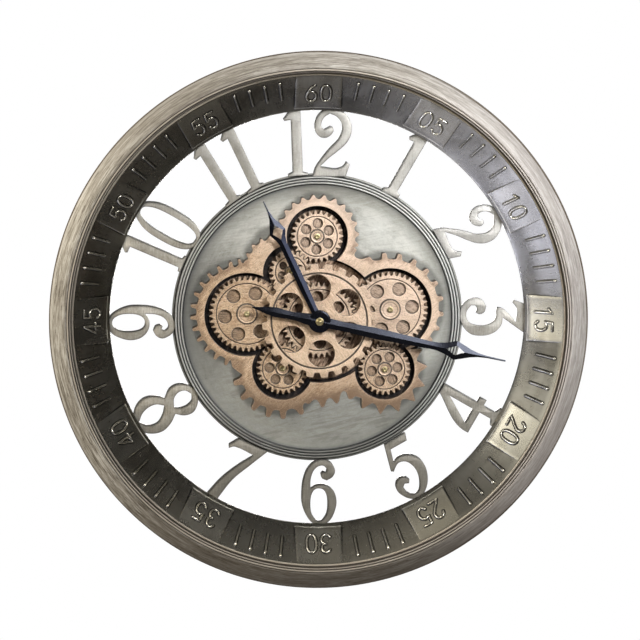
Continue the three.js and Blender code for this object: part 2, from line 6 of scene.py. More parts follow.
import bmesh
import bpy
import numpy as np
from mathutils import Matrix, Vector

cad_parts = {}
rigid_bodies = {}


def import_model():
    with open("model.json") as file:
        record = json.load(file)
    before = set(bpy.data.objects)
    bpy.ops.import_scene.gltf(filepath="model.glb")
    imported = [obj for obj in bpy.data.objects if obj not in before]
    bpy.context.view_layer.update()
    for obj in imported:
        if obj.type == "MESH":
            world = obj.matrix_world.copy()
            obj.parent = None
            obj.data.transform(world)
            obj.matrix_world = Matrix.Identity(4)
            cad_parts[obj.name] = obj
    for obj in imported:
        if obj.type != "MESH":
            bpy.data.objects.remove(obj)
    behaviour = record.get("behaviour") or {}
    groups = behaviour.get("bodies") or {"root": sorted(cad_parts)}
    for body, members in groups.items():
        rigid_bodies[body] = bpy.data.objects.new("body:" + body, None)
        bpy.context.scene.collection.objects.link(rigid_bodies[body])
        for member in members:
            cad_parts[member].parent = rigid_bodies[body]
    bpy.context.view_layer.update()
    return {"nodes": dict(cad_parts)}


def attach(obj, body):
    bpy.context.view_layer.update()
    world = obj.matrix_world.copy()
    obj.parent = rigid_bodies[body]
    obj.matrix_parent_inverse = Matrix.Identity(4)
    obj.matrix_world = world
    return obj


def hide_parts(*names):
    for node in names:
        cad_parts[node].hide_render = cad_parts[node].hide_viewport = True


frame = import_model()
nodes = frame["nodes"]

HOOK_R, HOOK_Z = 241.0, 3.2
TAU = 2 * math.pi


def world(p):
    p = np.asarray(p, float)
    return np.stack([p[:, 0], HOOK_Z - p[:, 2], p[:, 1] - HOOK_R], 1) * 0.001


# ---------------------------------------------------------------- node helpers
class Nodes:
    def __init__(self, name):
        self.mat = bpy.data.materials.new(name)
        self.mat.use_nodes = True
        self.t = self.mat.node_tree
        self.t.nodes.clear()
        self.out = self.t.nodes.new("ShaderNodeOutputMaterial")
        self.bsdf = self.t.nodes.new("ShaderNodeBsdfPrincipled")
        self.t.links.new(self.bsdf.outputs[0], self.out.inputs[0])
        self._mm = None

    def new(self, kind, **props):
        n = self.t.nodes.new("ShaderNode" + kind)
        for k, v in props.items():
            setattr(n, k, v)
        return n

    def put(self, socket, value):
        if hasattr(value, "is_linked"):
            self.t.links.new(value, socket)
        elif value is not None:
            if socket.type == "RGBA" and len(value) == 3:
                value = (*value, 1.0)
            socket.default_value = value

    def math(self, op, a, b=None, c=None, clamp=False):
        n = self.new("Math", operation=op, use_clamp=clamp)
        for s, v in zip(n.inputs, (a, b, c)):
            self.put(s, v)
        return n.outputs[0]

    def mm(self):
        """x, y and z in the dial's own frame, in mm, and the distance from its axis"""
        if self._mm is None:
            co = self.new("TexCoord").outputs["Object"]
            s = self.new("SeparateXYZ")
            self.put(s.inputs[0], co)
            x = self.math("MULTIPLY", s.outputs[0], 1000.0)
            y = self.math("MULTIPLY_ADD", s.outputs[2], 1000.0, HOOK_R)
            z = self.math("MULTIPLY_ADD", s.outputs[1], -1000.0, HOOK_Z)
            r = self.math("SQRT", self.math("ADD", self.math("MULTIPLY", x, x), self.math("MULTIPLY", y, y)))
            self._mm = (x, y, z, r)
        return self._mm

    def vec(self, x, y, z):
        n = self.new("CombineXYZ")
        for s, v in zip(n.inputs, (x, y, z)):
            self.put(s, v)
        return n.outputs[0]

    def flat(self, kx=1.0, ky=1.0, kz=1.0, turn=0.0, c=(0.0, 0.0)):
        """the place in mm, turned about the dial's axis direction and scaled along each side"""
        x, y, z, _ = self.mm()
        x, y = self.math("SUBTRACT", x, c[0]), self.math("SUBTRACT", y, c[1])
        ca, sa = math.cos(turn), math.sin(turn)
        u = self.math("ADD", self.math("MULTIPLY", x, ca), self.math("MULTIPLY", y, sa))
        v = self.math("SUBTRACT", self.math("MULTIPLY", y, ca), self.math("MULTIPLY", x, sa))
        return self.vec(self.math("MULTIPLY", u, kx), self.math("MULTIPLY", v, ky), self.math("MULTIPLY", z, kz))

    def round(self, along, across, z_share=0.0):
        """streaks that run round the dial's axis: few along the circle, many across it"""
        x, y, z, r = self.mm()
        s = self.math("MULTIPLY", self.math("MULTIPLY_ADD", z, z_share, r), across)
        return self.vec(
            self.math("MULTIPLY", self.math("DIVIDE", x, r), along), self.math("MULTIPLY", self.math("DIVIDE", y, r), along), s
        )

    def noise(self, vec, scale=1.0, detail=4.0, rough=0.55, distort=0.0):
        n = self.new("TexNoise")
        self.put(n.inputs["Vector"], vec)
        for k, v in (("Scale", scale), ("Detail", detail), ("Roughness", rough), ("Distortion", distort)):
            n.inputs[k].default_value = v
        return n.outputs["Fac"]

    def ramp(self, fac, stops, smooth=True):
        n = self.new("ValToRGB")
        n.color_ramp.interpolation = "EASE" if smooth else "LINEAR"
        e = n.color_ramp.elements
        while len(e) < len(stops):
            e.new(0.5)
        for el, (p, c) in zip(e, stops):
            el.position = p
            el.color = (*c, 1.0) if len(c) == 3 else c
        self.put(n.inputs[0], fac)
        return n.outputs[0]

    def span(self, v, a, b, c=0.0, d=1.0):
        n = self.new("MapRange", interpolation_type="SMOOTHSTEP")
        for s, x in zip(n.inputs, (v, a, b, c, d)):
            self.put(s, x)
        return n.outputs[0]

    def mix(self, fac, a, b, mode="MIX"):
        n = self.new("Mix", data_type="RGBA", blend_type=mode)
        self.put(n.inputs[0], fac)
        self.put(n.inputs[6], a)
        self.put(n.inputs[7], b)
        return n.outputs[2]

    def facing(self):
        """1 where the surface looks at the viewer's side, 0 on walls"""
        g = self.new("NewGeometry")
        s = self.new("SeparateXYZ")
        self.put(s.inputs[0], g.outputs["Normal"])
        return self.math("MULTIPLY", s.outputs[1], -1.0)

    def hollow_shade(self, dist, lo=0.35, hi=0.95):
        """painted shade: 1 in the piece's own grooves and inner corners, where ambient occlusion finds them"""
        n = self.new("AmbientOcclusion", only_local=True, samples=6)
        n.inputs["Distance"].default_value = dist * 0.001
        return self.span(n.outputs["AO"], lo, hi, 1.0, 0.0)

    def bump(self, height, strength, dist_mm, normal=None):
        n = self.new("Bump")
        n.inputs["Strength"].default_value = strength
        n.inputs["Distance"].default_value = dist_mm * 0.001
        self.put(n.inputs["Height"], height)
        if normal is not None:
            self.put(n.inputs["Normal"], normal)
        return n.outputs[0]

    def done(self, color, rough, metallic=0.0, normal=None, **more):
        b = self.bsdf.inputs
        self.put(b["Base Color"], color)
        self.put(b["Roughness"], rough)
        self.put(b["Metallic"], metallic)
        if normal is not None:
            self.put(b["Normal"], normal)
        for k, v in more.items():
            self.put(b[k.replace("_", " ")], v)
        return self.mat


# ---------------------------------------------------------------- materials
def m_rim():
    k = Nodes("rim_taupe")
    x, y, z, r = k.mm()
    broad = k.noise(k.round(4.0, 0.16, -0.55), 1.0, 4.0, 0.6, 0.3)
    fine = k.noise(k.round(11.0, 0.62, -0.55), 1.0, 4.0, 0.65, 0.12)
    hair = k.noise(k.round(26.0, 1.3, -0.55), 1.0, 3.0, 0.65)
    tone = k.math("ADD", k.math("MULTIPLY", broad, 0.30), k.math("ADD", k.math("MULTIPLY", fine, 0.42), k.math("MULTIPLY", hair, 0.28)))
    col = k.ramp(tone, [(0.40, (0.12, 0.100, 0.074)), (0.465, (0.25, 0.220, 0.175)), (0.515, (0.355, 0.322, 0.268)), (0.585, (0.54, 0.502, 0.437))])
    line = k.noise(k.round(12.0, 0.85, -0.55), 1.0, 4.0, 0.7, 0.2)
    col = k.mix(k.span(line, 0.55, 0.615, 0.0, 0.86), col, (0.085, 0.066, 0.046))
    # painted shade: the rim darkens towards the bottom, where its slope faces away from the light
    col = k.mix(k.span(y, -130.0, -262.0, 0.0, 0.75), col, (0.062, 0.047, 0.033))
    # painted highlight: a pale line along the outer corner, fading out towards the bottom; dark brown outside it
    col = k.mix(k.math("MULTIPLY", k.span(r, 268.8, 269.8), k.math("MULTIPLY", k.span(fine, 0.36, 0.56, 0.25, 0.75), k.span(y, -200.0, -60.0))), col, (0.56, 0.525, 0.46))
    # painted shade: the top of the rim is pulled towards a flat mid brown
    col = k.mix(k.span(y, 90.0, 240.0, 0.0, 0.36), col, (0.255, 0.230, 0.192))
    brink = k.math("MAXIMUM", k.span(r, 271.0, 271.7), k.math("MULTIPLY", k.span(x, 60.0, 170.0), k.span(r, 269.9, 270.6)))
    outer = k.math("MULTIPLY", k.span(r, 258.0, 259.0), k.math("MAXIMUM", brink, k.span(z, 60.6, 59.6)))
    col = k.mix(k.math("MULTIPLY", outer, 0.92), col, k.mix(fine, (0.035, 0.023, 0.015), (0.13, 0.095, 0.065)))
    # tan bead with a brown foot on the inside
    bead_c = k.mix(fine, (0.26, 0.220, 0.165), (0.56, 0.500, 0.415))
    col = k.mix(k.span(r, 255.1, 254.8), col, bead_c)
    # painted shade: the brown foot goes dark at the top, under the crown
    col = k.mix(k.math("MULTIPLY", k.span(r, 252.8, 252.5), k.span(y, 120.0, 235.0, 0.0, 0.86)), col, (0.045, 0.036, 0.028))
    # painted shade and painted light: dark pools at the upper left and upper right, a pale pool on the right, a brown
    # one at the lower right
    for (px, py), far, much, tint in (((180.0, 192.0), 150.0, 0.20, (0.20, 0.175, 0.140)), ((-178.0, 196.0), 140.0, 0.26, (0.20, 0.170, 0.130)), ((255.0, -66.0), 130.0, 0.18, (0.52, 0.480, 0.415)), ((218.0, -148.0), 130.0, 0.34, (0.275, 0.222, 0.170))):
        dx, dy = k.math("SUBTRACT", x, px), k.math("SUBTRACT", y, py)
        away = k.math("SQRT", k.math("ADD", k.math("MULTIPLY", dx, dx), k.math("MULTIPLY", dy, dy)))
        col = k.mix(k.span(away, far, 15.0, 0.0, much), col, tint)
    # painted sheen: the face turns paler and pinker towards the right
    col = k.mix(k.math("MULTIPLY", k.span(x, 70.0, 235.0, 0.0, 0.45), k.math("SUBTRACT", 1.0, outer)), col, k.mix(fine, (0.30, 0.268, 0.246), (0.465, 0.422, 0.395)))
    # painted shade: dark lines in the grooves between the mouldings
    for at, half, much in ((254.88, 0.55, 0.72), (252.62, 0.50, 0.85), (250.55, 0.55, 0.90)):
        off = k.math("ABSOLUTE", k.math("SUBTRACT", r, at))
        col = k.mix(k.span(off, half, half * 0.3, 0.0, much), col, (0.040, 0.030, 0.023))
    # painted shade in the rim's own grooves and inner corners
    col = k.mix(k.hollow_shade(1.6, 0.25, 0.70), col, (0.040, 0.030, 0.021))
    rough = k.math("MULTIPLY_ADD", fine, 0.3, 0.36)
    dull = k.math("SUBTRACT", 1.0, outer)
    return k.done(col, rough, k.math("MULTIPLY", dull, 0.12), k.bump(tone, 0.35, 0.4), Specular_IOR_Level=k.math("MULTIPLY", dull, 0.3))


def m_band(name, lift=1.0, rough0=0.17, shade_reach=2.6, shade_depth=(0.56, 0.97), faint=0.0):
    k = Nodes(name)
    cloud = k.noise(k.flat(0.03, 0.03, 0.03), 1.0, 4.0, 0.6, 0.4)
    brush = k.noise(k.round(90.0, 0.05), 1.0, 3.0, 0.6)
    speck = k.noise(k.flat(0.5, 0.5, 0.5), 1.0, 4.0, 0.7)
    tone = k.math("ADD", k.math("MULTIPLY", cloud, 0.76), k.math("ADD", k.math("MULTIPLY", brush, 0.16), k.math("MULTIPLY", speck, 0.08)))
    c = lambda a, b, d: (a * lift, b * lift, d * lift)
    col = k.ramp(tone, [(0.34, c(0.150, 0.137, 0.106)), (0.5, c(0.210, 0.195, 0.157)), (0.66, c(0.272, 0.256, 0.212))])
    x, y, z, r = k.mm()
    # painted shade: the band darkens at the top
    top = k.math("MULTIPLY", k.span(y, 95.0, 190.0, 0.0, 0.46), k.span(x, 130.0, 40.0))
    col = k.mix(top, col, c(0.022, 0.020, 0.017))
    # painted light: the lower band turns paler towards its outer edge
    col = k.mix(k.math("MULTIPLY", k.span(y, -120.0, -205.0), k.span(r, 218.0, 242.0, 0.05, 0.52)), col, c(0.370, 0.338, 0.262))
    # painted shade and painted light on the right: darker near the outer edge, paler near the inner edge, evening out
    # the light along the cone
    right = k.span(x, 80.0, 175.0)
    col = k.mix(k.math("MULTIPLY", right, k.span(r, 227.0, 246.0, 0.0, 0.42)), col, c(0.085, 0.079, 0.064))
    col = k.mix(k.math("MULTIPLY", right, k.span(r, 228.0, 214.0, 0.0, 0.55)), col, c(0.40, 0.375, 0.315))
    # pale marks the lit upper right; where faint is set, that part is painted lighter as light
    pale = k.math("MULTIPLY", k.span(x, 20.0, 120.0), k.span(y, -35.0, 10.0))
    if faint:
        col = k.mix(k.math("MULTIPLY", pale, faint), col, (0.175, 0.163, 0.135))
    # painted shade: darker where ambient occlusion finds raised marks and panel edges close by, less so in the lit
    # upper right
    if shade_reach:
        n = k.new("AmbientOcclusion", samples=16)
        n.inputs["Distance"].default_value = shade_reach * 0.001
        clear = k.math("MULTIPLY_ADD", pale, -0.72, 1.0)
        col = k.mix(k.math("MULTIPLY", clear, k.span(n.outputs["AO"], shade_depth[0], shade_depth[1], 0.95, 0.0)), col, (0.012, 0.011, 0.010))
    rough = k.math("MULTIPLY_ADD", tone, 0.2, rough0)
    return k.done(col, rough, 0.92, k.bump(cloud, 0.06, 0.3))


def m_hem():
    k = Nodes("hem_grey")
    fine = k.noise(k.round(30.0, 1.4, -0.5), 1.0, 3.0, 0.6)
    col = k.mix(fine, (0.31, 0.262, 0.195), (0.58, 0.512, 0.405))
    return k.done(col, k.math("MULTIPLY_ADD", fine, 0.2, 0.40), 0.2, k.bump(fine, 0.15, 0.2), Specular_IOR_Level=0.35)


def m_pewter():
    k = Nodes("pewter_sheet")
    lines = k.noise(k.flat(1.5, 0.06, 0.06), 1.0, 3.0, 0.6)
    grain = k.noise(k.flat(0.55, 0.55, 0.55), 1.0, 3.0, 0.6)
    cloud = k.noise(k.flat(0.045, 0.045, 0.045), 1.0, 3.0, 0.6, 0.6)
    tone = k.math("ADD", k.math("MULTIPLY", lines, 0.38), k.math("ADD", k.math("MULTIPLY", grain, 0.22), k.math("MULTIPLY", cloud, 0.40)))
    col = k.ramp(tone, [(0.38, (0.235, 0.215, 0.170)), (0.5, (0.382, 0.353, 0.294)), (0.62, (0.535, 0.503, 0.435))])
    x, y, z, r = k.mm()
    # painted shade: the numerals darken towards the bottom
    col = k.mix(k.span(y, -80.0, -170.0, 0.0, 0.62), col, (0.115, 0.106, 0.086))
    # painted shade: the top numerals are pulled towards a flat cool grey
    col = k.mix(k.span(y, 70.0, 150.0, 0.0, 0.36), col, (0.362, 0.366, 0.362))
    # painted light and shade: a pale cool pool at the right, darker pools at the upper left and lower right
    for (px, py), far, near, much, tint in (((172.0, 78.0), 120.0, 40.0, 0.30, (0.44, 0.445, 0.455)), ((-82.0, 160.0), 70.0, 25.0, 0.42, (0.20, 0.182, 0.145)), ((160.0, -95.0), 50.0, 15.0, 0.30, (0.20, 0.19, 0.165))):
        dx, dy = k.math("SUBTRACT", x, px), k.math("SUBTRACT", y, py)
        away = k.math("SQRT", k.math("ADD", k.math("MULTIPLY", dx, dx), k.math("MULTIPLY", dy, dy)))
        col = k.mix(k.span(away, far, near, 0.0, much), col, tint)
    wall = k.span(k.math("ABSOLUTE", k.facing()), 0.985, 0.80, 0.0, 1.0)
    col = k.mix(k.math("MULTIPLY", wall, 0.97), col, (0.014, 0.013, 0.013))
    # painted shade: dark lines along edges that lean up and left, fainter ones on edges that lean down and right,
    # weaker towards the upper right
    soft = k.new("Bevel", samples=6)
    soft.inputs["Radius"].default_value = 0.0040
    lean = k.new("VectorMath", operation="DOT_PRODUCT")
    k.put(lean.inputs[0], soft.outputs[0])
    lean.inputs[1].default_value = (-0.45, 0.0, 0.89)
    plain = k.math("MAXIMUM", k.span(x, 170.0, 40.0, 0.45, 1.0), k.span(y, -20.0, -70.0))
    col = k.mix(k.math("MULTIPLY", plain, k.span(lean.outputs["Value"], 0.10, 0.28, 0.0, 0.96)), col, (0.018, 0.017, 0.016))
    col = k.mix(k.math("MULTIPLY", plain, k.span(lean.outputs["Value"], -0.26, -0.52, 0.0, 0.55)), col, (0.045, 0.043, 0.038))
    rough = k.math("MULTIPLY_ADD", lines, 0.22, 0.32)
    return k.done(col, rough, 0.55, k.bump(lines, 0.18, 0.2))


PAN_WIDE = 1.008


def m_pan(bezel_shadow):
    k = Nodes("pan_pewter")
    x, y, z, r = k.mm()
    xs = k.math("DIVIDE", x, PAN_WIDE)
    r = k.math("SQRT", k.math("ADD", k.math("MULTIPLY", xs, xs), k.math("MULTIPLY", y, y)))
    cloud = k.noise(k.flat(0.022, 0.022, 0.02), 1.0, 5.0, 0.62, 0.9)
    stroke = k.noise(k.round(14.0, 0.30), 1.0, 5.0, 0.65, 0.5)
    sweep = k.noise(k.flat(0.016, 0.22, 0.05, turn=0.22), 1.0, 5.0, 0.65, 0.8)
    hair = k.noise(k.round(44.0, 1.3), 1.0, 3.0, 0.6)
    grain = k.noise(k.flat(0.6, 0.6, 0.6), 1.0, 3.0, 0.75)
    hatch = k.noise(k.flat(0.05, 0.62, 0.05, turn=0.14), 1.0, 4.0, 0.7, 0.4)
    tone = k.math("ADD", k.math("MULTIPLY", cloud, 0.30), k.math("ADD", k.math("MULTIPLY", stroke, 0.20), k.math("ADD", k.math("MULTIPLY", sweep, 0.16), k.math("ADD", k.math("MULTIPLY", grain, 0.14), k.math("MULTIPLY", hatch, 0.20)))))
    col = k.ramp(tone, [(0.38, (0.312, 0.294, 0.246)), (0.47, (0.470, 0.449, 0.390)), (0.53, (0.562, 0.540, 0.476)), (0.63, (0.678, 0.655, 0.594))])
    # painted shade: the pan darkens towards the bottom
    col = k.mix(k.span(y, 60.0, -150.0, 0.06, 0.34), col, (0.112, 0.103, 0.078))
    low = k.span(y, -20.0, -90.0)
    col = k.mix(k.math("MULTIPLY", low, k.span(hatch, 0.46, 0.66, 0.0, 0.55)), col, (0.335, 0.310, 0.248))
    col = k.mix(k.math("MULTIPLY", low, k.span(k.math("MULTIPLY_ADD", sweep, 0.5, k.math("MULTIPLY", cloud, 0.5)), 0.50, 0.60, 0.0, 0.40)), col, (0.115, 0.098, 0.066))
    # painted shade along the foot of the ridges, and a painted shadow round the surround
    edge = k.math("MULTIPLY_ADD", k.math("SUBTRACT", cloud, 0.5), 26.0, r)
    col = k.mix(k.span(edge, 118.0, 139.0, 0.0, 0.50), col, (0.080, 0.080, 0.066))
    # painted shade: a blue-grey line just inside the ridges
    col = k.mix(k.span(r, 132.0, 136.0, 0.0, 0.45), col, (0.055, 0.056, 0.060))
    # painted shade: dark pools at the left, the lower right and the top
    for (px, py), far, near, much in (((-128.0, 2.0), 95.0, 20.0, 0.54), ((98.0, -88.0), 62.0, 10.0, 0.28), ((6.0, 128.0), 66.0, 12.0, 0.34)):
        dx, dy = k.math("SUBTRACT", x, px), k.math("SUBTRACT", y, py)
        away = k.math("SQRT", k.math("ADD", k.math("MULTIPLY", dx, dx), k.math("MULTIPLY", dy, dy)))
        away = k.math("MULTIPLY_ADD", k.math("SUBTRACT", cloud, 0.5), 60.0, away)
        col = k.mix(k.span(away, far, near, 0.0, much), col, (0.105, 0.098, 0.082))
    # painted shadow: a dark ring on the pan hugging the surround's outline
    gap = None
    for (ex, ey), er in bezel_shadow:
        dx, dy = k.math("SUBTRACT", x, ex), k.math("SUBTRACT", y, ey)
        q = k.math("SUBTRACT", k.math("SQRT", k.math("ADD", k.math("MULTIPLY", dx, dx), k.math("MULTIPLY", dy, dy))), er)
        gap = q if gap is None else k.math("MINIMUM", gap, q)
    gap = k.math("MULTIPLY_ADD", k.math("SUBTRACT", cloud, 0.5), 9.0, gap)
    col = k.mix(k.span(gap, 3.6, -2.6, 0.0, 0.66), col, (0.075, 0.074, 0.064))
    col = k.mix(k.span(r, 136.0, 136.6), col, k.mix(hair, (0.38, 0.366, 0.330), (0.60, 0.585, 0.542)))
    # painted shade: the ridges darken at the bottom, and a little at the top
    col = k.mix(k.math("MULTIPLY", k.span(r, 136.0, 136.6), k.math("MAXIMUM", k.span(y, -60.0, -130.0, 0.0, 0.74), k.span(y, 60.0, 140.0, 0.0, 0.28))), col, (0.12, 0.115, 0.098))
    col = k.mix(k.span(r, 144.6, 145.2, 0.0, 0.8), col, k.mix(stroke, (0.10, 0.096, 0.080), (0.30, 0.288, 0.250)))
    # painted shade: dark lines in the valleys between the ridges and at the flange
    for at, half in ((136.3, 1.05), (139.15, 0.90), (141.95, 0.90), (145.0, 1.2)):
        off = k.math("ABSOLUTE", k.math("SUBTRACT", r, at))
        col = k.mix(k.span(off, half, half * 0.35, 0.0, 0.93), col, (0.016, 0.016, 0.014))
    # painted shade in the pan's own grooves and corners
    col = k.mix(k.hollow_shade(1.6, 0.2, 0.75), col, (0.022, 0.022, 0.019))
    col = k.mix(k.span(k.facing(), 0.05, -0.35), col, k.mix(stroke, (0.17, 0.165, 0.150), (0.36, 0.350, 0.325)))
    rough = k.math("MULTIPLY_ADD", tone, 0.35, 0.30)
    return k.done(col, rough, 0.35, k.bump(grain, 0.10, 0.3), Specular_IOR_Level=0.4)


def m_bronze(name, turn, lift=1.0, c=None, rings=(), rim=None, edge=()):
    """cast bronze paint; dark rings painted into the turned lines and round the boss as shade, brown wash out on the
    teeth
    """
    k = Nodes(name)
    x, y, z, r = k.mm()
    l3 = lambda a, b, d: (a * lift, b * lift, d * lift)
    streak = k.noise(k.flat(0.09, 0.62, 0.3, turn=turn), 1.0, 5.0, 0.68, 1.6)
    blot = k.noise(k.flat(0.10, 0.10, 0.10), 1.0, 4.0, 0.6, 0.6)
    speck = k.noise(k.flat(0.72, 0.72, 0.72), 1.0, 3.0, 0.8)
    tone = k.math("ADD", k.math("MULTIPLY", streak, 0.52), k.math("ADD", k.math("MULTIPLY", blot, 0.22), k.math("MULTIPLY", speck, 0.26)))
    col = k.ramp(tone, [(0.385, l3(0.17, 0.100, 0.050)), (0.45, l3(0.37, 0.240, 0.138)), (0.51, l3(0.53, 0.368, 0.226)), (0.60, l3(0.69, 0.520, 0.355))])
    pit = k.noise(k.flat(0.95, 0.95, 0.95, turn=0.8, c=(31.0, 7.0)), 1.0, 2.0, 0.6)
    col = k.mix(k.math("MULTIPLY", k.span(pit, 0.57, 0.65), k.span(blot, 0.40, 0.60, 0.25, 0.90)), col, (0.055, 0.036, 0.024))
    # painted light: paler towards the upper right
    pale = k.span(k.math("MULTIPLY_ADD", y, 1.1, x), -60.0, 120.0, 0.0, 0.36)
    col = k.mix(pale, col, l3(0.70, 0.56, 0.465))
    brown = k.math("MULTIPLY", k.span(streak, 0.55, 0.70), k.span(blot, 0.46, 0.62))
    col = k.mix(k.math("MULTIPLY", brown, 0.75), col, (0.105, 0.064, 0.038))
    dark = (0.030, 0.021, 0.016)
    if c is not None:
        dx, dy = k.math("SUBTRACT", x, c[0]), k.math("SUBTRACT", y, c[1])
        d = k.math("SQRT", k.math("ADD", k.math("MULTIPLY", dx, dx), k.math("MULTIPLY", dy, dy)))
        if c == (0.0, 0.0):
            # painted light: the centre gear turns paler towards the bottom
            col = k.mix(k.span(y, 8.0, -42.0, 0.0, 0.34), col, l3(0.74, 0.575, 0.420))
        # painted shade: dark rings in the grooves and round the boss
        for at, half, much in rings:
            off = k.math("ABSOLUTE", k.math("SUBTRACT", d, at))
            col = k.mix(k.span(off, half, half * 0.45, 0.0, much), col, dark)
        if rim:
            worn = k.math("MULTIPLY_ADD", k.math("SUBTRACT", blot, 0.5), 5.0, d)
            col = k.mix(k.span(worn, rim - 1.5, rim + 2.5, 0.0, 0.22), col, (0.16, 0.098, 0.056))
            # painted shade: the recess floors of the holes are darker
            low = k.math("MULTIPLY", k.span(z, 43.9, 43.4), k.span(k.facing(), 0.8, 0.95))
            col = k.mix(k.math("MULTIPLY", low, k.span(streak, 0.40, 0.60, 0.05, 0.80)), col, (0.120, 0.073, 0.043))
    if edge:
        inside = None
        for (ex, ey), er in edge:
            dx, dy = k.math("SUBTRACT", x, ex), k.math("SUBTRACT", y, ey)
            d = k.math("SQRT", k.math("ADD", k.math("MULTIPLY", dx, dx), k.math("MULTIPLY", dy, dy)))
            d = k.math("MULTIPLY_ADD", k.math("SUBTRACT", blot, 0.5), 16.0, d)
            q = k.span(d, er + 1.0, er - 4.0)
            inside = q if inside is None else k.math("MAXIMUM", inside, q)
        col = k.mix(k.math("MULTIPLY", k.math("SUBTRACT", 1.0, inside), k.span(streak, 0.40, 0.58, 0.30, 0.80)), col, (0.17, 0.100, 0.056))
        # painted shade at the bottom of the surround, painted light at its top
        col = k.mix(k.span(y, -45.0, -88.0, 0.0, 0.62), col, (0.135, 0.084, 0.050))
        col = k.mix(k.span(y, 55.0, 112.0, 0.0, 0.34), col, (0.80, 0.630, 0.500))
    # painted highlight: a pale line along the edges, broken up by the speckle
    soft = k.new("Bevel", samples=4)
    soft.inputs["Radius"].default_value = 0.0024
    lean = k.new("VectorMath", operation="DOT_PRODUCT")
    k.put(lean.inputs[0], soft.outputs[0])
    k.put(lean.inputs[1], k.new("NewGeometry").outputs["Normal"])
    edge_highlight = k.math("MULTIPLY", k.span(lean.outputs["Value"], 0.97, 0.84), k.span(speck, 0.36, 0.58, 0.25, 1.0))
    col = k.mix(k.math("MULTIPLY", edge_highlight, 0.42), col, (0.82, 0.660, 0.490))
    # painted shade: the side walls are near black
    wall = k.span(k.math("ABSOLUTE", k.facing()), 0.80, 0.35)
    col = k.mix(k.math("MULTIPLY", wall, 0.94), col, k.mix(blot, (0.014, 0.012, 0.012), (0.060, 0.038, 0.024)))
    # painted shade in the piece's own grooves and inner corners
    col = k.mix(k.hollow_shade(3.2, 0.32, 0.86), col, (0.045, 0.029, 0.019))
    rough = k.math("MULTIPLY_ADD", tone, 0.3, 0.34)
    return k.done(col, rough, 0.15, k.bump(tone, 0.35, 0.4), Specular_IOR_Level=0.35)


def m_floor(spots):
    """brown, streaked floor of the wells, painted black as shade in the open ring outside each gear"""
    k = Nodes("well_floor")
    x, y, z, r = k.mm()
    blot = k.noise(k.flat(0.12, 0.12, 0.12), 1.0, 5.0, 0.65, 0.8)
    streak = k.noise(k.flat(0.10, 0.5, 0.2, turn=1.1), 1.0, 5.0, 0.65, 0.8)
    col = k.ramp(k.math("ADD", k.math("MULTIPLY", streak, 0.6), k.math("MULTIPLY", blot, 0.4)), [(0.36, (0.055, 0.035, 0.022)), (0.47, (0.23, 0.150, 0.095)), (0.56, (0.45, 0.310, 0.205)), (0.68, (0.60, 0.435, 0.305))])
    # painted shade: black beyond each gear's tips, next to the well walls
    out = None
    for (cx, cy), rad in spots:
        dx, dy = k.math("SUBTRACT", x, cx), k.math("SUBTRACT", y, cy)
        d = k.math("SQRT", k.math("ADD", k.math("MULTIPLY", dx, dx), k.math("MULTIPLY", dy, dy)))
        q = k.span(d, rad - 0.8, rad + 0.6)
        out = q if out is None else k.math("MULTIPLY", out, q)
    worn = k.math("MULTIPLY", k.span(streak, 0.50, 0.62), k.span(blot, 0.42, 0.58))
    col = k.mix(k.math("MULTIPLY", out, k.math("MULTIPLY_ADD", worn, -0.08, 0.97)), col, (0.006, 0.006, 0.007))
    return k.done(col, k.math("MULTIPLY_ADD", blot, 0.2, 0.62), 0.0, k.bump(streak, 0.3, 0.4), Specular_IOR_Level=0.2)


def m_metal(name, a, b, rough, metallic=1.0, kx=0.12, ky=1.6, turn=0.0, bump=0.12):
    k = Nodes(name)
    brush = k.noise(k.flat(kx, ky, 0.9, turn=turn), 1.0, 4.0, 0.6)
    cloud = k.noise(k.flat(0.09, 0.09, 0.09), 1.0, 3.0, 0.6, 0.5)
    tone = k.math("ADD", k.math("MULTIPLY", brush, 0.55), k.math("MULTIPLY", cloud, 0.45))
    col = k.ramp(tone, [(0.34, a), (0.66, b)])
    return k.done(col, k.math("MULTIPLY_ADD", tone, 0.2, rough - 0.1), metallic, k.bump(brush, bump, 0.15))


def m_hand():
    k = Nodes("hand_lacquer")
    fine = k.noise(k.flat(1.4, 1.4, 1.4), 1.0, 3.0, 0.6)
    cloud = k.noise(k.flat(0.06, 0.06, 0.06), 1.0, 3.0, 0.6)
    tone = k.math("ADD", k.math("MULTIPLY", fine, 0.5), k.math("MULTIPLY", cloud, 0.5))
    col = k.ramp(tone, [(0.35, (0.0012, 0.0013, 0.0021)), (0.65, (0.0032, 0.0035, 0.0052))])
    return k.done(col, k.math("MULTIPLY_ADD", tone, 0.2, 0.17), 0.0, k.bump(fine, 0.10, 0.12), Specular_IOR_Level=0.21, Specular_Tint=(0.80, 0.84, 1.0, 1.0))


def m_plastic(name, a, b, rough=0.5, grain=2.2, strength=0.25, spec=0.5):
    k = Nodes(name)
    g = k.noise(k.flat(grain, grain, grain), 1.0, 2.0, 0.5)
    cloud = k.noise(k.flat(0.05, 0.05, 0.05), 1.0, 3.0, 0.6)
    tone = k.math("ADD", k.math("MULTIPLY", g, 0.45), k.math("MULTIPLY", cloud, 0.55))
    col = k.ramp(tone, [(0.35, a), (0.65, b)])
    return k.done(col, k.math("MULTIPLY_ADD", g, 0.25, rough - 0.12), 0.0, k.bump(g, strength, 0.2), Specular_IOR_Level=spec)


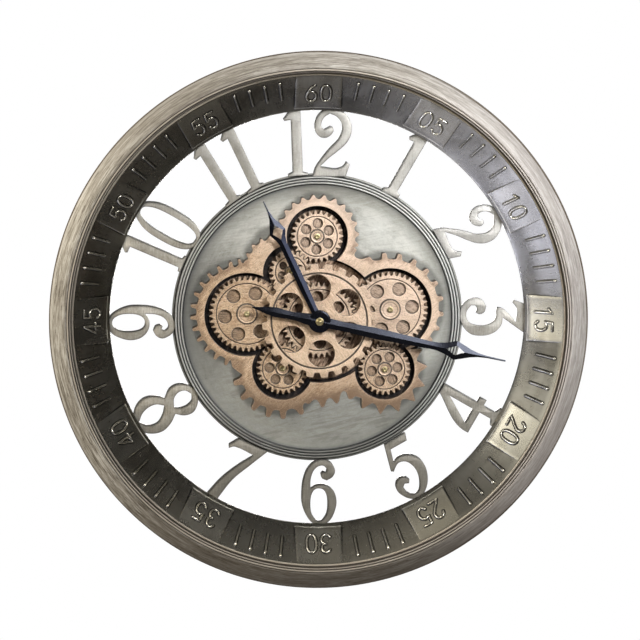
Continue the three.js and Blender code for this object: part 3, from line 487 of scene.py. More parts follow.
def m_board():
    k = Nodes("board_green")
    x, y, z, r = k.mm()
    n = k.noise(k.flat(0.25, 0.25, 0.25), 1.0, 4.0, 0.6)
    w = k.new("TexWave", wave_type="BANDS", bands_direction="DIAGONAL")
    k.put(w.inputs["Vector"], k.flat(1.0, 1.0, 0.0))
    w.inputs["Scale"].default_value = 0.12
    w.inputs["Distortion"].default_value = 6.0
    col = k.mix(k.span(w.outputs["Fac"], 0.78, 0.84), k.mix(n, (0.015, 0.085, 0.03), (0.035, 0.15, 0.06)), (0.07, 0.24, 0.10))
    return k.done(col, 0.38, 0.0, k.bump(w.outputs["Fac"], 0.2, 0.1))


def m_cell():
    k = Nodes("cell_sleeve")
    x, y, z, r = k.mm()
    n = k.noise(k.flat(0.3, 0.9, 0.9), 1.0, 3.0, 0.6)
    col = k.mix(n, (0.020, 0.055, 0.125), (0.045, 0.105, 0.20))
    band = k.span(k.math("ABSOLUTE", x), 15.5, 15.9)
    col = k.mix(band, col, k.mix(n, (0.42, 0.42, 0.43), (0.60, 0.60, 0.61)))
    return k.done(col, k.math("MULTIPLY_ADD", n, 0.15, 0.22), 0.25, k.bump(n, 0.1, 0.15))


# ---------------------------------------------------------------- geometry helpers
class Geo:
    def __init__(self):
        self.v, self.f, self.n = [], [], 0

    def add(self, got):
        v, f = got
        self.v.append(np.asarray(v, float))
        self.f += [tuple(i + self.n for i in q) for q in f]
        self.n += len(v)
        return self

    def obj(self, name, mat, body, replaces=(), slot=None, sharp=32, weld=1e-6):
        me = bpy.data.meshes.new(name)
        me.from_pydata(world(np.concatenate(self.v)).tolist(), [], self.f)
        bm = bmesh.new()
        bm.from_mesh(me)
        bmesh.ops.remove_doubles(bm, verts=bm.verts, dist=weld)
        bmesh.ops.dissolve_degenerate(bm, edges=bm.edges, dist=1e-7)
        bmesh.ops.recalc_face_normals(bm, faces=bm.faces)
        bm.to_mesh(me)
        bm.free()
        me.shade_smooth()
        me.set_sharp_from_angle(angle=math.radians(sharp))
        me.materials.append(mat)
        ob = bpy.data.objects.new(name, me)
        bpy.context.scene.collection.objects.link(ob)
        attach(ob, body)
        if replaces:
            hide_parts(*replaces)
        return ob


def lathe(profile, seg, c=(0.0, 0.0), closed=True):
    pr = np.asarray(profile, float)
    n = len(pr)
    a = np.arange(seg) * TAU / seg
    v = np.empty((seg, n, 3))
    v[:, :, 0] = c[0] + np.outer(np.cos(a), pr[:, 0])
    v[:, :, 1] = c[1] + np.outer(np.sin(a), pr[:, 0])
    v[:, :, 2] = pr[:, 1][None]
    f = []
    last = n if closed else n - 1
    for i in range(seg):
        i2 = (i + 1) % seg
        for j in range(last):
            j2 = (j + 1) % n
            f.append((i * n + j, i2 * n + j, i2 * n + j2, i * n + j2))
    return v.reshape(-1, 3), f


def bead(cx, cz, rad, a0, a1, n):
    """points of a round moulding, as [r, z]"""
    return [(cx + rad * math.cos(math.radians(a0 + (a1 - a0) * i / n)), cz + rad * math.sin(math.radians(a0 + (a1 - a0) * i / n))) for i in range(n + 1)]


def circle(c, r, n=48, turn=0.0):
    return [(c[0] + r * math.cos(turn + TAU * i / n), c[1] + r * math.sin(turn + TAU * i / n)) for i in range(n)]


def clock(deg, r, c=(0.0, 0.0)):
    a = math.radians(deg)
    return (c[0] + r * math.sin(a), c[1] + r * math.cos(a))


def plate(outer, holes, z0, z1, bev=0.4, res=2):
    """a flat piece with rounded edges: outline and holes in the dial's plane"""
    cu = bpy.data.curves.new("tmp", "CURVE")
    cu.dimensions, cu.fill_mode = "2D", "BOTH"
    cu.bevel_depth, cu.bevel_resolution = bev, res
    cu.extrude, cu.offset = (z1 - z0) / 2 - bev, -bev
    for loop in [outer, *holes]:
        sp = cu.splines.new("POLY")
        sp.points.add(len(loop) - 1)
        sp.points.foreach_set("co", np.array([(p[0], p[1], 0.0, 1.0) for p in loop], np.float32).ravel())
        sp.use_cyclic_u = True
    ob = bpy.data.objects.new("tmp", cu)
    bpy.context.scene.collection.objects.link(ob)
    dg = bpy.context.evaluated_depsgraph_get()
    me = bpy.data.meshes.new_from_object(ob.evaluated_get(dg))
    v = np.zeros(len(me.vertices) * 3, np.float32)
    me.vertices.foreach_get("co", v)
    v = v.reshape(-1, 3).astype(float)
    v[:, 2] += (z0 + z1) / 2
    f = [tuple(p.vertices) for p in me.polygons]
    bpy.data.objects.remove(ob)
    bpy.data.curves.remove(cu)
    bpy.data.meshes.remove(me)
    return v, f


def chaikin(pts, rounds=2, keep=()):
    """rounds the corners of a closed outline; points named in keep stay sharp"""
    pts = [(p[0], p[1], i in keep) for i, p in enumerate(pts)]
    for _ in range(rounds):
        out = []
        n = len(pts)
        for i in range(n):
            p, q = pts[i], pts[(i + 1) % n]
            a = 0.0 if p[2] else 0.25
            b = 1.0 if q[2] else 0.75
            if p[2]:
                out.append(p)
            else:
                out.append((p[0] + (q[0] - p[0]) * a, p[1] + (q[1] - p[1]) * a, False))
            if not q[2]:
                out.append((p[0] + (q[0] - p[0]) * b, p[1] + (q[1] - p[1]) * b, False))
        pts = out
    return [(p[0], p[1]) for p in pts]


def fillet(pts, r):
    """takes every corner of a closed outline off with a small curve"""
    out = []
    n = len(pts)
    for i in range(n):
        p = np.array(pts[i])
        a, b = np.array(pts[i - 1]) - p, np.array(pts[(i + 1) % n]) - p
        la, lb = np.hypot(*a), np.hypot(*b)
        p1, p2 = p + a / la * min(r, 0.42 * la), p + b / lb * min(r, 0.42 * lb)
        out += [tuple(p1), tuple(0.25 * p1 + 0.5 * p + 0.25 * p2), tuple(p2)]
    return out


def fair(pts, corner=50.0, step=1.3):
    """a closed outline through coarse points: curved where they bend gently, sharp where they turn hard"""
    p = np.asarray(pts, float)
    n = len(p)
    d = np.roll(p, -1, 0) - p
    ln = np.hypot(d[:, 0], d[:, 1])
    u = d / ln[:, None]
    tan, sharp = np.zeros((n, 2)), np.zeros(n, bool)
    for i in range(n):
        a, b = u[i - 1], u[i]
        turn = math.degrees(math.acos(max(-1.0, min(1.0, float(a @ b)))))
        sharp[i] = turn > corner
        t = a * ln[i] + b * ln[i - 1]
        tan[i] = t / max(1e-9, float(np.hypot(*t)))
    out = []
    for i in range(n):
        j = (i + 1) % n
        t0 = u[i] if sharp[i] else tan[i]
        t1 = u[i] if sharp[j] else tan[j]
        m = max(1, min(10, int(math.ceil(ln[i] / step))))
        for s in range(m):
            t = s / m
            h00, h10, h01, h11 = 2 * t**3 - 3 * t**2 + 1, t**3 - 2 * t**2 + t, -2 * t**3 + 3 * t**2, t**3 - t**2
            q = h00 * p[i] + h10 * ln[i] * t0 + h01 * p[j] + h11 * ln[i] * t1
            out.append((q[0], q[1]))
    return out


def tube(path, normal, rad, closed=False, sides=8, flat=1.0):
    """a round bead along a path that lies on a surface with this normal"""
    p = np.asarray(path, float)
    n = len(p)
    nrm = np.asarray(normal, float)
    nrm = nrm / np.linalg.norm(nrm)
    if closed:
        t = np.roll(p, -1, 0) - np.roll(p, 1, 0)
    else:
        t = np.gradient(p, axis=0)
    t /= np.linalg.norm(t, axis=1)[:, None]
    rings = [(p[i], t[i], rad) for i in range(n)]
    if not closed:
        start, end = [], []
        for k in (0.95, 0.72, 0.38):
            s = math.sqrt(1 - k * k) * rad
            start.append((p[0] - t[0] * k * rad, t[0], s))
            end.insert(0, (p[-1] + t[-1] * k * rad, t[-1], s))
        rings = start + rings + end
    v = []
    for c, d, r in rings:
        b = np.cross(d, nrm)
        b /= np.linalg.norm(b)
        for s in range(sides):
            a = TAU * s / sides
            v.append(c + b * math.cos(a) * r + nrm * math.sin(a) * r * flat)
    m = len(rings)
    f = []
    for i in range(m if closed else m - 1):
        i2 = (i + 1) % m
        for s in range(sides):
            s2 = (s + 1) % sides
            f.append((i * sides + s, i * sides + s2, i2 * sides + s2, i2 * sides + s))
    if not closed:
        f.append(tuple(range(sides)))
        f.append(tuple(range((m - 1) * sides, m * sides)))
    return np.array(v), f


def rect(x0, x1, y0, y1, r=1.5, n=5):
    out = []
    for cx, cy, a in ((x1 - r, y1 - r, 0), (x0 + r, y1 - r, 90), (x0 + r, y0 + r, 180), (x1 - r, y0 + r, 270)):
        for i in range(n + 1):
            t = math.radians(a + 90 * i / n)
            out.append((cx + r * math.cos(t), cy + r * math.sin(t)))
    return out


# ---------------------------------------------------------------- the train's layout
M = 1.83
TEETH = dict(centre=40, left=40, right=40, top=27, lowleft=27, lowright=27, idler=22)
OUTER = ["top", "idler", "left", "lowleft", "lowright", "right"]


def toward(a, d, dist):
    ln = math.hypot(*d)
    return (a[0] + d[0] / ln * dist, a[1] + d[1] / ln * dist)


def pitch(a, b):
    return M * (TEETH[a] + TEETH[b]) / 2


AT = {"centre": (0.0, 0.0)}
AT["left"] = toward(AT["centre"], (-74.7, 6.8), pitch("centre", "left"))
AT["right"] = toward(AT["centre"], (72.2, 10.4), pitch("centre", "right"))
AT["lowleft"] = toward(AT["centre"], (-37.6, -50.1), pitch("centre", "lowleft"))
AT["idler"] = toward(AT["centre"], (-28.5, 49.0), pitch("centre", "idler"))
AT["top"] = toward(AT["idler"], (27.0, 36.1), pitch("idler", "top"))
AT["lowright"] = toward(AT["right"], (-5.6, -62.0), pitch("right", "lowright"))
PINION_AT = (0.0, -26.0)
INTER_AT = (0.0, 12.0)
PILLARS = [(-52, 30), (52, 36), (54, -30), (-54, -30)]


def mesh_turn(a, na, b, nb, turn):
    f = math.atan2(b[1] - a[1], b[0] - a[0])
    t = (f - turn) * na / TAU
    return f + math.pi - (0.5 - t) * TAU / nb


TURN = {"centre": 0.0}
for g in ("left", "right", "lowleft", "idler"):
    TURN[g] = mesh_turn(AT["centre"], 40, AT[g], TEETH[g], 0.0)
TURN["top"] = mesh_turn(AT["idler"], 22, AT["top"], 27, TURN["idler"])
TURN["lowright"] = mesh_turn(AT["right"], 40, AT["lowright"], 27, TURN["right"])


def gear_line(n, m, c, turn, add=0.95, ded=1.2, tip=0.11, root=0.31, soft=1):
    p = TAU / n
    rp = m * n / 2
    rt, rr = rp + add * m, rp - ded * m
    ht, hr = tip * p * rp / rt, root * p * rp / rr
    out = []
    for k in range(n):
        a = turn + k * p
        for b, r in ((-hr, rr), (-ht, rt), (ht, rt), (hr, rr)):
            out.append((c[0] + r * math.cos(a + b), c[1] + r * math.sin(a + b)))
    return fillet(out, soft * 0.3 * m) if soft else out


# ---------------------------------------------------------------- finishes
RIM = m_rim()
BAND = m_band("band_gunmetal")
# the panels, figures, ticks and lips are lighter copies of the band's gunmetal, partly painted light for the light the
# raised parts catch
PANEL = m_band("panel_gunmetal", 1.22, 0.17, 1.8)
FIGURE = m_band("figure_gunmetal", 2.3, 0.14, 1.5, (0.50, 0.82))
TICK = m_band("tick_gunmetal", 1.45, 0.16, 1.5, (0.50, 0.82))
# painted highlight: the tick ends are a much lighter, glossier copy of the band's gunmetal
DOT = m_band("tick_end_highlight", 3.4, 0.08, 0)
LIP = m_band("lip_gunmetal", 2.0, 0.42, 0)
# painted shade: a dark copy of the band's gunmetal, laid flat round the figures and ticks
OUTLINE = m_band("outline_painted_shade", 0.13, 0.30, 0, faint=0.85)
HEM = m_hem()
PEWTER = m_pewter()
TIPS = {g: M * TEETH[g] / 2 + 0.95 * M for g in TEETH}
FLOOR = m_floor([(AT[g], TIPS[g]) for g in OUTER] + [(AT["centre"], 61.0)])
BRASS = m_metal("brass_worn", (0.34, 0.27, 0.13), (0.62, 0.53, 0.30), 0.42)
STEEL = m_metal("zinc_steel", (0.36, 0.37, 0.38), (0.62, 0.63, 0.64), 0.40)
HAND = m_hand()
PLASTIC = m_plastic("case_plastic", (0.010, 0.010, 0.011), (0.026, 0.026, 0.027))
NYLON = m_plastic("nylon_natural", (0.60, 0.57, 0.48), (0.78, 0.75, 0.66), 0.45, 1.2, 0.12)
RUBBER = m_plastic("pad_rubber", (0.012, 0.012, 0.012), (0.030, 0.030, 0.030), 0.85, 3.0, 0.4, 0.2)
BOARD = m_board()
CELL = m_cell()

# ---------------------------------------------------------------- outer rim
rim = [(265.0, 2.0), (272.2, 55.0), (272.5, 58.4), (272.3, 60.2), (271.7, 61.7), (270.8, 62.8), (269.6, 63.7), (266.4, 65.6), (263.0, 67.5), (260.0, 69.0), (257.8, 69.8), (256.4, 70.05), (255.5, 69.95), (255.05, 69.55), (254.9, 68.9)]
rim += bead(253.75, 69.0, 1.1, 10, 180, 9)
rim += [(252.6, 68.0)] + bead(251.55, 67.2, 1.0, 25, 185, 9)
rim += [(250.5, 66.4), (250.5, 60.6), (251.0, 59.8), (251.0, 58.1), (249.0, 58.1), (249.0, 2.0), (252.0, 2.0), (252.0, 57.0), (256.0, 66.6), (262.0, 65.4), (269.0, 60.0), (262.0, 2.0)]
Geo().add(lathe(rim, 300)).obj("outer_rim_crowned", RIM, "frame", ["outer_rim"], "rim", 40)

# ---------------------------------------------------------------- minute band
cone = [(250.7, 58.4), (250.7, 59.6), (249.6, 60.0), (248.3, 59.9), (247.6, 59.3)]
for i in range(1, 8):
    t = i / 8
    cone.append((247.6 + (213.0 - 247.6) * t, 59.3 + (24.0 - 59.3) * t))
cone += [(213.0, 24.0), (212.3, 23.2), (211.8, 22.5), (211.6, 21.6), (211.8, 20.7), (212.6, 20.4), (221.0, 20.4), (221.0, 22.0), (213.6, 22.1), (249.0, 58.4)]
Geo().add(lathe(cone, 360)).obj("minute_band_cone", BAND, "frame", ["minute_band"], "band", 38)

Geo().add(lathe(bead(249.2, 60.25, 1.2, 0, 360, 18)[:-1], 360)).obj("minute_band_hem", HEM, "frame", (), "band", 60)

PANEL_W = 47.4


def panel_z(r):
    return 30.0 + (r - 214.4) * (59.2 - 30.0) / (247.6 - 214.4)


def on_panel(deg, u, r, lift=0.0):
    """a point on a panel's face: u across it, r from the axis, lift out of the face"""
    a = math.radians(deg)
    s, c = math.sin(a), math.cos(a)
    rho = math.sqrt(r * r - u * u)
    slope = math.atan2(59.2 - 30.0, 247.6 - 214.4)
    rho -= lift * math.sin(slope)
    z = panel_z(r) + lift * math.cos(slope)
    return (rho * s + u * c, rho * c - u * s, z)


def panel_normal(deg, slope):
    a = math.radians(deg)
    return (-math.sin(a) * math.sin(slope), -math.cos(a) * math.sin(slope), math.cos(slope))


panels = Geo()
NU, NR = 16, 10
for i in range(12):
    deg = 30 * i
    border = []
    us = np.linspace(-1, 1, NU + 1)
    rs = np.linspace(0, 1, NR + 1)
    loops = []
    for inset, drop in ((1.0, 0.0), (0.62, 0.07), (0.3, 0.3), (0.08, 0.65), (0.0, 1.05), (-0.35, 7.0)):
        h = PANEL_W / 2 - inset
        r0, r1 = 214.4 + inset * 0.8, 247.8 - inset * 0.2
        ring = [on_panel(deg, h * u, r0, -drop) for u in us]
        ring += [on_panel(deg, h, r0 + (r1 - r0) * t, -drop) for t in rs[1:]]
        ring += [on_panel(deg, h * u, r1, -drop) for u in us[::-1][1:]]
        ring += [on_panel(deg, -h, r0 + (r1 - r0) * t, -drop) for t in rs[::-1][1:-1]]
        loops.append(ring)
    m = len(loops[0])
    v = [p for ring in loops for p in ring]
    f = []
    for a in range(len(loops) - 1):
        for b in range(m):
            b2 = (b + 1) % m
            f.append((a * m + b, a * m + b2, (a + 1) * m + b2, (a + 1) * m + b))
    # face grid inside the first loop
    h = PANEL_W / 2 - 1.0
    r0, r1 = 214.4 + 0.8, 247.8 - 0.2
    idx = {}
    for bi, (iu, ir) in enumerate([(u, 0) for u in range(NU + 1)] + [(NU, r) for r in range(1, NR + 1)] + [(u, NR) for u in range(NU - 1, -1, -1)] + [(0, r) for r in range(NR - 1, 0, -1)]):
        idx[(iu, ir)] = bi
    for iu in range(1, NU):
        for ir in range(1, NR):
            idx[(iu, ir)] = len(v)
            v.append(on_panel(deg, h * us[iu], r0 + (r1 - r0) * rs[ir]))
    for iu in range(NU):
        for ir in range(NR):
            f.append((idx[(iu, ir)], idx[(iu + 1, ir)], idx[(iu + 1, ir + 1)], idx[(iu, ir + 1)]))
    f.append(tuple(range((len(loops) - 1) * m, len(loops) * m)))
    panels.add((v, f))
panels.obj("minute_band_panels", PANEL, "frame", (), "band", 30)


def arc(cx, cy, rx, ry, a0, a1, n):
    return [(cx + rx * math.cos(math.radians(a0 + (a1 - a0) * i / n)), cy + ry * math.sin(math.radians(a0 + (a1 - a0) * i / n))) for i in range(n + 1)]


def loop_oval(cx, cy, rx, ry, n=28, power=2.35):
    out = []
    for i in range(n):
        c, s = math.cos(TAU * i / n), math.sin(TAU * i / n)
        out.append((cx + rx * math.copysign(abs(c) ** (2 / power), c), cy + ry * math.copysign(abs(s) ** (2 / power), s)))
    return out


# single-stroke figures, [closed, points], about 10 mm wide and 16 mm tall between stroke middles
STROKES = {
    "0": [[True, loop_oval(0, 0, 4.9, 7.9)]],
    "1": [[False, [(-2.7, 4.6), (-0.6, 6.2), (1.0, 7.9), (1.0, 4.0), (1.0, 0.0), (1.0, -4.0), (1.0, -7.9)]]],
    "2": [[False, arc(0, 3.5, 4.7, 4.4, 172, -22, 14) + [(1.6, -1.6), (-1.8, -4.8), (-4.8, -7.9), (-1.5, -7.9), (1.8, -7.9), (5.0, -7.9)]]],
    "3": [[False, arc(-0.1, 3.9, 4.3, 4.0, 155, -78, 13)], [False, arc(-0.2, -3.75, 4.8, 4.15, 82, -155, 15)]],
    "4": [[False, [(2.0, 7.9), (-0.4, 4.2), (-2.8, 0.5), (-5.2, -3.3), (-1.8, -3.3), (1.6, -3.3), (5.0, -3.3)]], [False, [(2.0, 7.6), (2.0, 2.0), (2.0, -3.0), (2.0, -7.9)]]],
    "5": [[False, [(4.2, 7.9), (0.4, 7.9), (-3.5, 7.9), (-3.9, 4.4), (-4.3, 0.8)] + arc(-0.1, -2.7, 4.8, 5.2, 132, -150, 18)]],
    "6": [[True, loop_oval(0, -3.1, 4.8, 4.8, 26, 2.1)], [False, [(3.2, 7.7), (0.6, 6.3), (-2.2, 3.6), (-4.0, 0.6), (-4.8, -3.0)]]],
}
figures, outlines = Geo(), Geo()
R_FIG = 229.6
for i, word in enumerate(["60", "05", "10", "15", "20", "25", "30", "35", "40", "45", "50", "55"]):
    deg = 30 * i
    nrm = panel_normal(deg, math.atan2(29.2, 33.2))
    for ch, off in zip(word, (-7.4, 7.4)):
        for closed, pts in STROKES[ch]:
            path = [on_panel(deg, u + off, R_FIG + w * 1.02, 0.12) for u, w in pts]
            figures.add(tube(path, nrm, 1.2, closed, 12, 1.15))
            # a wider, flat dark stroke under each figure stroke: painted shade round it
            outlines.add(tube(path, nrm, 1.95, closed, 12, 0.25))
figures.obj("minute_figures", FIGURE, "frame", (), "band", 60)

lips = Geo()
for i in range(12):
    path = [on_panel(30 * i, u, 214.5, -0.9) for u in np.linspace(-22.9, 22.9, 25)]
    lips.add(tube(path, panel_normal(30 * i, math.atan2(29.2, 33.2)), 1.0, False, 10, 1.0))
lips.obj("minute_panel_lips", LIP, "frame", (), "band", 60)

ticks, dots = Geo(), Geo()
SLOPE = math.atan2(59.3 - 24.0, 247.6 - 213.0)
for i in range(12):
    for d in (-5.6, -1.87, 1.87, 5.6):
        deg = 30 * i + 15 + d
        nrm = np.array(panel_normal(deg, SLOPE))
        path = []
        for t in np.linspace(0, 1, 9):
            r = 226.0 + 17.2 * t
            z = 59.3 + (r - 247.6) * (59.3 - 24.0) / (247.6 - 213.0)
            x, y = clock(deg, r)
            path.append(np.array((x, y, z)) + nrm * 0.1)
        ticks.add(tube(path, nrm, 1.2, False, 12, 1.2))
        # a wider, flat dark stroke under each tick: painted shade round it
        outlines.add(tube(path, nrm, 1.9, False, 12, 0.25))
        dots.add(tube([path[-1] + nrm * 0.4, path[-1] * 0.5 + path[-2] * 0.5 + nrm * 0.4], nrm, 1.5, False, 14, 1.25))
ticks.obj("minute_ticks", TICK, "frame", (), "band", 60)
dots.obj("minute_tick_ends", DOT, "frame", (), "band", 60)
outlines.obj("minute_outlines", OUTLINE, "frame", (), "band", 60)

# ---------------------------------------------------------------- hour numerals
TWO = [
    (-5, 142.5), (28, 142), (32, 152), (28.5, 155.5), (25, 150.5), (22, 149.2), (3, 150.5), (12, 159), (21, 166), (28.5, 173),
    (33, 181), (34, 189), (31, 198), (22.5, 204.5), (12, 206), (3, 203), (-2, 196.5), (-3, 190), (-1.5, 184), (3, 179.3),
    (8, 178.5), (13.5, 181.5), (16, 186), (15, 189.5), (12.5, 190.5), (9.5, 188.6), (6.5, 187.2), (4, 189.5), (4.2, 194),
    (7, 199), (12.5, 201.8), (19, 199.5), (23.5, 194), (24.5, 189), (21.5, 179), (12, 168.5), (3, 157.5), (-2.5, 149),
]
SIX = [
    (4, 143.6), (-3, 145), (-10, 150.5), (-14, 160), (-16, 175), (-15.5, 187), (-12, 197), (-5, 204.3), (2.5, 206.3), (11, 203.6),
    (17.3, 194.5), (19, 183), (16, 174), (10, 168.5), (3, 166.6), (-3, 168), (-7.2, 171), (-6.3, 160), (-3, 152.5), (1, 149.2),
    (6, 148.6), (9.3, 151.6), (8.4, 154.8), (5, 153.6), (3, 156.5), (4.4, 161), (9.3, 163.4), (15, 160), (17.6, 154), (16, 149), (11.5, 145),
]


def oval(cx, cr, a, b, n, power=2.0):
    return loop_oval(cx, cr, a, b, n, power)


NUMERALS = [
    ("numeral_12_one", 0, [(-29, 140), (-9, 141.5), (-9.3, 143.8), (-14.2, 145.2), (-17, 205.5), (-27, 204), (-34, 197.4), (-32.6, 195.2), (-26.3, 196.5), (-24.6, 145), (-29.2, 142.8)], []),
    ("numeral_12_two", 0, TWO, []),
    ("numeral_1", 30, [(-8.2, 142.8), (10.2, 144.2), (10, 146.8), (6.2, 148), (6.6, 206), (-3.6, 206), (-10.5, 201), (-9.3, 198.4), (-4, 199), (-3.6, 147.6), (-8.2, 145.8)], []),
    ("numeral_2", 60, [(x - 13, r + 2 * (206 - r) / 64) for x, r in TWO], []),
    ("numeral_3", 90, [
        (-12, 206), (18, 206), (1, 185), (7, 184), (12, 181), (17, 174), (19, 163), (17, 152.5), (10, 146.4), (0, 144), (-10, 145),
        (-16.5, 149.5), (-19, 157), (-17, 164), (-10.5, 168.3), (-4.5, 166.3), (-2.5, 161.5), (-4.2, 158), (-8, 159.3), (-11.4, 157.5),
        (-11.5, 153.5), (-6.5, 149.4), (0, 148.5), (5.5, 151.5), (8.7, 160), (8.3, 168.5), (4.8, 175.5), (0, 178.3), (-5, 178.3),
        (-9.4, 179.3), (-9.2, 181.4), (5.5, 198.3), (-9.5, 198.5), (-14, 194.8), (-16.6, 196),
    ], []),
    ("numeral_9", 270, [(-x - 2.5, r) for x, r in SIX], [oval(-4, 187, 8.6, 15.6, 28, 2.4)]),
    ("numeral_10_one", 300, [(-28.6, 141), (-11.6, 142.8), (-11.8, 145), (-15.6, 146), (-22.3, 206), (-31.6, 204.2), (-38.4, 198), (-37.2, 195.8), (-31, 196.4), (-25, 144.6), (-28.8, 143.4)], []),
    ("numeral_10_zero", 300, oval(6.5, 173.5, 16.8, 33, 44, 2.6), [oval(6.5, 173.7, 9.6, 30, 40, 2.6)]),
    ("numeral_11_left", 330, [(-23, 140), (-5, 141.8), (-5.2, 144.2), (-8.2, 145.4), (-10.3, 206), (-20, 204.6), (-26.8, 198.4), (-25.4, 196), (-19.8, 197.2), (-17.9, 144.6), (-23, 142.8)], []),
    ("numeral_11_right", 330, [(2, 141), (20.6, 140.5), (20.8, 143), (17.4, 144.8), (22.4, 205), (12.6, 206), (5.2, 200.6), (6.4, 198), (12, 198.4), (7.9, 145), (2.2, 143.6)], []),
    ("numeral_4", 120, [(-4, 144.5), (6, 144.5), (6, 180.5), (11.8, 180.5), (11.8, 188.6), (6, 188.6), (6, 201), (12, 203), (12, 206.5), (-8, 206.5), (-8, 203), (-2.2, 201), (-2.2, 188.6), (-25.5, 188.6), (-25.5, 182.8)],
     [[(-2.3, 154), (-18.3, 180.6), (-2.3, 180.6)]]),
    ("numeral_5", 150, [
        (-6, 144.8), (18.3, 144.8), (15.5, 151.8), (-3, 151.6), (-6.6, 163.6), (0, 161.2), (9.5, 164), (16.5, 171.5), (18.6, 181), (16, 193),
        (8, 202.6), (-2, 206), (-10, 203.6), (-15.5, 198.5), (-18, 190.5), (-16, 184), (-10, 180.2), (-4.2, 182), (-1.6, 187), (-4, 190.4),
        (-8, 188.6), (-11, 191), (-10, 197), (-5, 201.6), (0.5, 200.8), (6, 194), (8.6, 185), (8, 177), (3, 169), (-3, 167.4), (-8.2, 170),
        (-11.3, 172.6), (-13.6, 171),
    ], []),
    ("numeral_6", 180, SIX, [oval(1.5, 187, 8.6, 15.6, 28, 2.4)]),
    ("numeral_7", 210, [(-8, 144.6), (24.2, 143), (15, 163), (8, 181), (3.6, 206.3), (-8.6, 206.3), (-3, 185), (4, 168), (13, 151.2), (-3, 152), (-8, 153.2), (-11.4, 156.8), (-13.8, 153.4)], []),
    ("numeral_8", 240, [
        (2.5, 143.2), (-7.5, 146), (-13.2, 153), (-13.6, 162), (-7.5, 171.3), (-14.5, 179), (-18, 190), (-14.5, 200.5), (-5, 206), (2, 206.8),
        (10, 205.6), (17.5, 200), (20.6, 190), (17.6, 178.5), (12, 170.3), (18.2, 162.5), (19.6, 154.5), (14.5, 146.8),
    ], [
        [(2.6, 147), (-3.2, 150), (-5, 155.5), (-2.5, 163), (5.5, 168), (9.2, 161), (9.6, 154.5), (7.5, 149.3)],
        [(-0.8, 175.5), (-5.8, 182), (-7, 190), (-4.4, 199), (1, 203.8), (7.4, 200), (10.2, 191), (6, 182)],
    ]),
]
NUM_PX, NUM_Z0, NUM_Z1 = 1.027, 13.6, 20.0
FOOTED = ("numeral_12_one", "numeral_10_one", "numeral_10_zero", "numeral_11_left", "numeral_11_right")
for name, deg, line, holes in NUMERALS:
    a = math.radians(deg)
    side = -1 if 100 < deg < 250 else 1

    def place(p):
        x = side * p[0] * NUM_PX
        r = p[1] * NUM_PX
        if p[1] > 200:
            r += 2.6 * (p[1] - 200) / 6
        if r < 152 and name not in FOOTED:
            r -= 2.6 * (152 - r) / 5
        r = max(r, 143.8)
        return (x * math.cos(a) + r * math.sin(a), -x * math.sin(a) + r * math.cos(a))

    Geo().add(plate(fair([place(p) for p in line]), [fair([place(p) for p in h]) for h in holes], NUM_Z0, NUM_Z1, 0.5, 2)).obj(
        name + "_sheet", PEWTER, "frame", [name], "pewter", 40
    )

# ---------------------------------------------------------------- gear bezel
HUB, BPX = (319.0, 320.2), 1.0165
A_C, F_C, E_C, D_C, C_C, B_C = (317.5, 236.5), (390, 310), (384.5, 371), (282, 369.5), (245.5, 313.5), (291, 272)
WAVE = [(-7.4, 0.0), (-5.0, 0.12), (-3.0, 0.55), (-1.3, 1.0), (1.3, 1.0), (3.0, 0.55), (5.0, 0.12)]
TAB = [(-5.6, 0.0), (-3.5, 0.10), (-2.7, 0.50), (-2.1, 1.0), (2.1, 1.0), (2.7, 0.50), (3.5, 0.10), (5.6, 0.0)]
SLIM = [(-4.2, 0.0), (-2.6, 0.10), (-2.1, 0.50), (-1.5, 1.0), (1.5, 1.0), (2.1, 0.50), (2.6, 0.10), (4.2, 0.0)]
BLUNT = [(-6.6, 0.0), (-4.6, 0.16), (-3.6, 0.60), (-2.5, 1.0), (2.5, 1.0), (3.6, 0.60), (4.6, 0.16), (6.6, 0.0)]
SPIKE = [(-11.4, 0.0), (-8.6, 0.14), (-4.6, 0.55), (-1.3, 0.95), (0.0, 1.06), (1.3, 0.95), (4.6, 0.55), (8.6, 0.14)]
